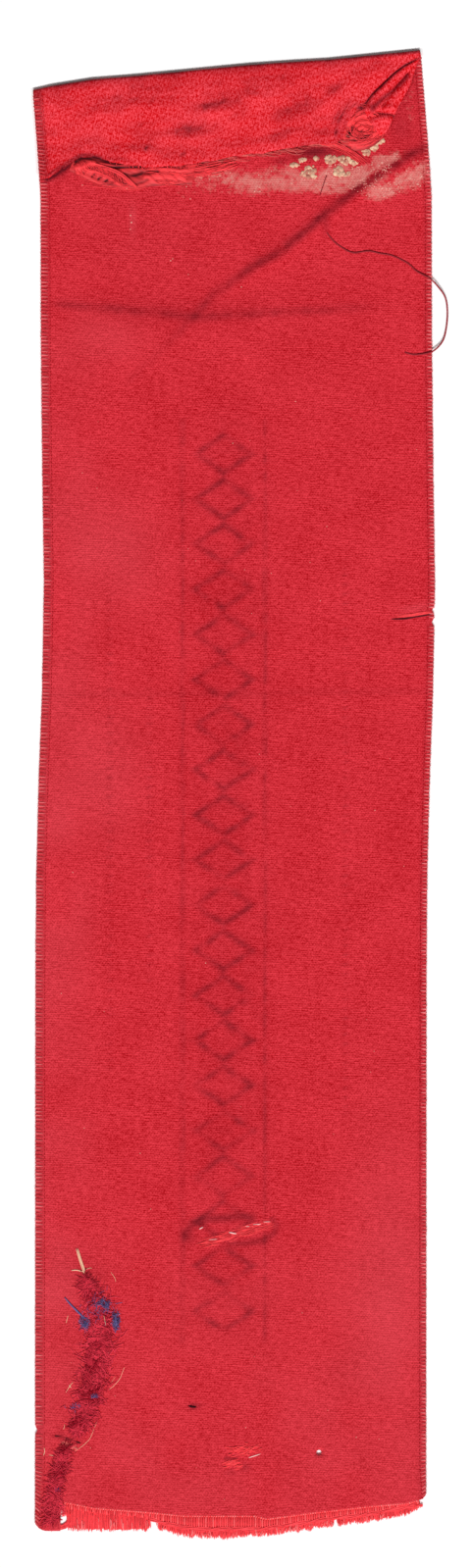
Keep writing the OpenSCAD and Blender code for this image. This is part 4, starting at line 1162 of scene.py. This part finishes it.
FRINGE_PITCH = 0.42
FRINGE_GAPS = [(72.5, 73.5), (153.6, 160.0), (340.8, 343.0)]
FRINGE_BACKS = [(64, 152, 2.5), (160.5, 340, 3.2), (343.5, 428, 3.0)]  # first, last and how much shorter
FRINGE_TURN = [(70, 1540), (71, 1547), (69.5, 1553.5), (65, 1557), (58, 1558.5)]
ends, tones = [], []
for a in np.arange(63, 431, FRINGE_PITCH):
    if any(first < a < last for first, last in FRINGE_GAPS):
        continue
    if a < RIDGE_FROM:
        root = level(HEM_PX, a) + rng.uniform(0, 3)
    else:
        root = level(RIDGE_PX, a) - rng.uniform(0, 1.0)
    tip = level(TIPS, a) + 2.2 * noise(a / 2.8, 0.5, 63) - abs(rng.normal(0, 1.5))
    tip_x = a + 1.6 * noise(a / 4.2, 0.5, 62) + rng.normal(0, 0.7)
    ends.append([at(a, root, rng.uniform(0.1, 0.32)), at(tip_x, max(tip, root + 2), rng.uniform(0.06, 0.26))])
    tones.append(np.clip(0.95 + 0.25 * noise(a / 3, 0.5, 64) + rng.normal(0, 0.12), 0, 1))
parts = [hairs(ends, 8, 0.02, 0.08, 0.06, floss_mat, 5, np.array(tones), tips=0.3)]
for first, last, shorter in FRINGE_BACKS:
    x = np.linspace(first, last, int((last - first) * 1.5))
    low = level(TIPS, x) - shorter + 0.9 * noise(x / 2.1, 0.5, 65)
    parts.append(strip(x, low, level(HEM_PX, x) + 1, 0.02, 0.07, 0.55))
ends = []
for _ in range(260):
    a = rng.uniform(72, 428)
    if 151 < a < 163 or noise(a / 6, 0.5, 66) < -0.1:
        continue
    tip = level(TIPS, a)
    root = tip - (rng.uniform(5, 16) if a < RIDGE_FROM else rng.uniform(4, 9))
    ends.append([at(a, root, 0.34), at(a + rng.normal(0, 1.0), tip - rng.uniform(1, 4), 0.3)])
parts.append(hairs(ends, 8, 0.02, 0.05, 0.055, bright_mat, 5, (0, 0.8)))
parts.append(brush(FRINGE_TURN, 24, 0.6, 0.06, 0.14, 0.1, (0.4, 1.0), 0.15))
put(parts, "fringe_fibres", "lower", "warp_fringe")


# ---------------------------------------------------------------- felt, lint and straw

FELT = [  # middle and width
    (87, 1303, 7), (92, 1316, 17), (100, 1334, 28), (102, 1352, 33), (100, 1374, 32), (98, 1394, 31),
    (92, 1420, 29), (87, 1442, 26), (80, 1455, 17), (74, 1463, 8),
]
FELT_LOW = [
    (68, 1474, 7), (63, 1490, 13), (58, 1508, 14), (56, 1522, 13), (53, 1534, 20), (52, 1545, 21),
    (55, 1553, 11),
]
FELT_LEFT_X = -25.2  # no fibre reaches further out
FELT_STEPS = 60
FIBRE_STEPS = 7


def felt_strip(points, height, seed):
    """A domed strip of felt; returns its middle with the width, its sideways directions and its mesh."""
    line = resample([at(x, y, wide * PX) for x, y, wide in points], FELT_STEPS)
    side = sideways(line)
    v = np.linspace(1, -1, 13)
    wide = 0.5 * line[:, 2] * (0.74 + 0.22 * noise(np.arange(FELT_STEPS) / 3.5, 0.5, seed))
    xy = line[:, None, :2] - side[:, None] * (v * wide[:, None])[:, :, None]
    x, y = xy[:, :, 0], xy[:, :, 1]
    base = cloth_top(x, y)
    dome = np.sqrt(1 - v ** 2) * np.sqrt(np.sin(np.linspace(0.02, 3.12, FELT_STEPS)))[:, None]
    top = base + 0.02 + height * dome * (0.65 + 0.45 * noise(x / 0.8, y / 0.8, seed + 1))
    tone = 0.42 + 0.25 * noise(x / 0.7, y / 0.7, seed + 2)
    return line, side, closed(raised(xy, top), raised(xy, base - 0.02), [felt_mat], tone=tone)


def curl(centre, turn, length, curve, steps=FIBRE_STEPS):
    """A bowed fibre through a place: x, y and the way along it from -1 to 1."""
    t = np.linspace(-1, 1, steps)
    along, off = length * t, curve * length * t * t
    c, s = math.cos(turn), math.sin(turn)
    return centre[0] + along * c - off * s, centre[1] + along * s + off * c, t


parts = []
for points, height, count, seed in [(FELT, 0.30, 950, 71), (FELT_LOW, 0.20, 380, 75)]:
    line, side, body = felt_strip(points, height, seed)
    parts.append(body)
    paths, tones = [], []
    for _ in range(count):
        i = int(rng.uniform(0, FELT_STEPS - 2))
        out = rng.normal(0, 0.42)
        c = line[i, :2] + side[i] * out * line[i, 2] * 0.62
        x, y, t = curl(c, rng.uniform(0, 6.28), rng.uniform(0.4, 1.3), -0.25 * rng.normal(0, 1.5))
        x = np.maximum(x, FELT_LEFT_X)
        pile = height * max(0.0, 1 - abs(out) / 0.9) * rng.uniform(0.5, 1.15)
        z = cloth_top(x, y) + 0.03 + pile + 0.12 * rng.random() * (1 - t * t)
        paths.append(np.stack([x, y, z], -1))
        tone = 0.5 + 0.35 * noise(*(c / 1.1), seed + 3) + 0.35 * (abs(out) > 0.55) + rng.normal(0, 0.22)
        tones.append(np.clip(tone, 0, 1))
    parts.append(tubes(paths, taper(count, FIBRE_STEPS, 0.05), felt_mat, 4, np.array(tones)))
put(parts, "felt_fuzz", "lower", "felt_scrap")


def fuzz(x, y, rx, ry, count, radius, low, high, size, tone):
    """A small clump of curly lint: centre and radii in pixels, then millimetres and the range of tones."""
    paths = []
    for _ in range(count):
        c = spot(x + rng.normal(0, rx * 0.45), y + rng.normal(0, ry * 0.45))
        cx, cy, t = curl(c, rng.uniform(0, 6.28), rng.uniform(*size), 0.4 * rng.normal(0, 1))
        z = rng.uniform(low, high) + 0.1 * rng.normal() * t
        paths.append(np.stack([cx, cy, np.maximum(z, 0.34)], -1))
    return tubes(paths, taper(count, FIBRE_STEPS, radius), lint_mat, 4, rng.uniform(*tone, count))


LINT = [
    (87, 1349, 5, 7.5, 90, 0.035, 0.4, 0.75, (0.15, 0.45), (0, 1)),
    (108, 1332, 4, 5, 34, 0.033, 0.5, 1.0, (0.15, 0.45), (0.2, 0.9)),
    (105, 1329, 8, 3, 16, 0.03, 0.6, 1.0, (0.3, 0.7), (0.3, 0.9)),
    (118, 1347, 4, 9, 100, 0.036, 0.4, 0.95, (0.15, 0.5), (0.2, 1.0)),
    (100, 1334, 13, 14, 46, 0.03, 0.75, 1.0, (0.2, 0.5), (0.0, 0.7)),
    (97, 1423, 5, 2.5, 12, 0.03, 0.8, 0.95, (0.15, 0.35), (0, 1)),
    (76, 1434, 7, 4, 16, 0.03, 0.42, 0.8, (0.15, 0.4), (0, 1)),
    (59, 1518, 2.5, 4, 12, 0.03, 0.5, 0.7, (0.1, 0.3), (0.0, 0.4)),
]
STICK_RADII = np.repeat([0.07, 0.1, 0.13, 0.16], [2, 4, 4, 2])
parts = [rod([(66, 1323), (72, 1330), (79, 1337), (86, 1344)], 0.46, 12, STICK_RADII, lint_mat, 0.6)]
parts += [fuzz(*row) for row in LINT]
parts.append(rod([(110, 1327), (117, 1329), (125, 1328)], 0.4, 10, 0.03, lint_mat, 0.7))
put(parts, "lint_fibres", "lower", "blue_lint")

STRAWS = [  # points, radius and height
    ([(77.7, 1273), (81, 1284), (84.3, 1294), (86, 1299)], 0.102, 0.48),
    ([(79.3, 1273), (82.5, 1284), (85.6, 1293), (86.8, 1298)], 0.0935, 0.47),
    ([(85.8, 1297), (87, 1303), (85.2, 1310)], 0.0425, 0.40),
    ([(72.9, 1295.4), (78, 1295), (85, 1296.6)], 0.06375, 0.42),
    ([(86, 1295), (91, 1293), (94, 1293)], 0.0255, 0.40),
    ([(74.5, 1409), (71, 1413.5), (67, 1420)], 0.0425, 0.40),
    ([(70.5, 1412), (72.5, 1415)], 0.051, 0.42),
    ([(129.6, 1389), (126, 1396), (122.5, 1405), (117, 1412), (111, 1417)], 0.0255, 0.38),
    ([(118, 1403), (114, 1409), (112, 1413)], 0.0187, 0.38),
    ([(99, 1449), (95, 1459), (91.5, 1467), (85, 1473.5), (76, 1480)], 0.0272, 0.40),
    ([(45, 1476), (45.6, 1480), (44.4, 1484)], 0.03825, 0.40),
    ([(50, 1483.4), (55, 1484.3), (60, 1486.6)], 0.03825, 0.40), ([(69.5, 1341), (67.4, 1349)], 0.0425, 0.40),
    ([(106, 1341), (108, 1351)], 0.02975, 1.0), ([(66, 1452), (64, 1462)], 0.0255, 0.40),
    ([(113, 1297), (117, 1303), (118, 1307)], 0.02975, 0.38),
]
parts = [
    rod(line, z, 12, taper(1, 12, r, 0.5, 0.05), straw_mat, rng.uniform(0.4, 1.0), 6) for line, r, z in STRAWS
]
put(parts, "straw_splinters", "lower", "straw_fibres")


# ---------------------------------------------------------------- snags and specks


def floats(items, name, node):
    """Pulled weft floats: centre and half length in pixels, turn, radius, height and tone."""
    paths, radii, tones = [], [], []
    for x, y, half, turn, r, z, tone in items:
        fx, fy, t = curl(spot(x, y), math.radians(turn), half * PX, 0, steps=9)
        paths.append(np.stack([fx, fy + 0.04 * t * t, 0.28 + z * (1 - t * t)], -1))
        radii.append(r * (1 - 0.7 * t ** 4))
        tones.append(tone)
    put([tubes(paths, np.array(radii), floss_mat, tone=np.array(tones))], name, "lower", node)


items = []
for _ in range(130):
    u = rng.beta(1.3, 1.2)
    items.append((
        203 + 70 * u + rng.normal(0, 2), 1271 - 30 * u + 8 * u * u + rng.normal(0, 2.8), rng.uniform(5, 12),
        14 + rng.normal(0, 6), rng.uniform(0.05, 0.10), rng.uniform(0.06, 0.13), rng.uniform(0.35, 0.85),
    ))
floats(items, "upper_snag_floats", "upper_snag")
LOW_SNAG = [(235.5, 1491.5, 60, 2.8, 1.6), (250, 1479, 70, 7, 2.8), (243, 1496, 12, 1.2, 1.2)]
items = []
for x, y, count, wide, high in LOW_SNAG:
    for _ in range(count):
        items.append((
            x + rng.normal(0, wide), y + rng.normal(0, high), rng.uniform(2, 5), 10 + rng.normal(0, 12),
            rng.uniform(0.05, 0.10), rng.uniform(0.08, 0.2), rng.uniform(0.65, 1.0),
        ))
floats(items, "lower_snag_floats", "lower_snag")

GLINTS = [  # centre and half length, turn, radius
    (217, 1263.8, 4.6, 4, 0.04), (237.5, 1257.3, 4.6, -12, 0.096), (254, 1250.5, 4.5, 0, 0.048),
    (262, 1248.4, 4.6, 3, 0.072), (272, 1245.8, 3.6, 2, 0.04), (205, 1252.2, 2.2, 30, 0.08),
    (259.5, 1484.3, 6.6, 18, 0.068),
]
paths, radii = [], []
for x, y, half, turn, r in GLINTS:
    gx, gy, t = curl(spot(x, y), math.radians(turn), half * PX, 0)
    paths.append(np.stack([gx, gy, 0.37 + 0.05 * (1 - t * t)], -1))
    radii.append(r * (1 - 0.6 * t ** 4))
put([tubes(paths, np.array(radii), glint_mat, tone=0.7)], "snag_glints", "lower", None)

SLIT_SHADE = [(56, 1464), (65, 1465), (73, 1468), (82, 1471.5)]
# A dark tube as painted shade inside the slit
slit = rod(SLIT_SHADE, 0.42, 16, taper(1, 16, 0.19), dirt_and_shade_mat, 0.8)
scrap = brush([(60, 1471), (70, 1472.5), (81, 1476)], 18, 0.8, 0.08, 0.36, 0.15, (0.4, 1.0), mat=dusty_mat)
put([slit, scrap], "slit_scrap", "lower", None)
dash = rod([(192, 1433.4), (196, 1434.2), (200, 1434.6)], 0.36, 9, taper(1, 9, 0.14), dirt_and_shade_mat, 0.1)
put([dash, chips([at(195.5, 1434, 0.33)], [0.3], 0.06, dirt_and_shade_mat)], "dark_spot", "lower")

UPPER_SPECKS = [  # centre and radius
    (129, 192.5, 1.1), (128, 175, 0.8), (84, 189, 0.9), (133, 220, 0.7), (134, 227, 0.8), (133, 234, 0.6),
    (174, 266, 0.8), (176, 264, 0.6), (194, 203, 0.6), (246, 293, 0.7), (192, 280, 0.5),
]
LOWER_SPECKS = [(76, 1353, 0.8), (108, 1350, 0.7), (136, 1295, 0.6)]
SPECKS = [("upper", UPPER_SPECKS, 26, (340, 690)), ("lower", LOWER_SPECKS, 34, (760, 1530))]
for body, specks, more, span in SPECKS:
    for _ in range(more):
        specks.append((rng.uniform(50, 425), rng.uniform(*span), rng.uniform(0.3, 0.6)))
    places, radii = [on_cloth(x, y) for x, y, _ in specks], [r * PX for _, _, r in specks]
    lumps = chips(places, radii, 0.07, speck_mat, 5)
    put([lumps], f"{body}_pale_specks", body)


# ---------------------------------------------------------------- the floor

FLOOR_HALF = 1.5  # metres
FLOOR_Z = -0.00003  # metres
floor_mat = Shader("floor", 0.9, 0.0).paint((1.0, 1.0, 1.0, 1.0))
floor_mesh = bpy.data.meshes.new("floor")
corners = [(-FLOOR_HALF, -FLOOR_HALF, 0), (FLOOR_HALF, -FLOOR_HALF, 0), (FLOOR_HALF, FLOOR_HALF, 0),
           (-FLOOR_HALF, FLOOR_HALF, 0)]
floor_mesh.from_pydata(corners, [], [(0, 1, 2, 3)])
floor_mesh.materials.append(floor_mat)
floor = bpy.data.objects.new("floor", floor_mesh)
bpy.context.scene.collection.objects.link(floor)
floor.location.z = FLOOR_Z
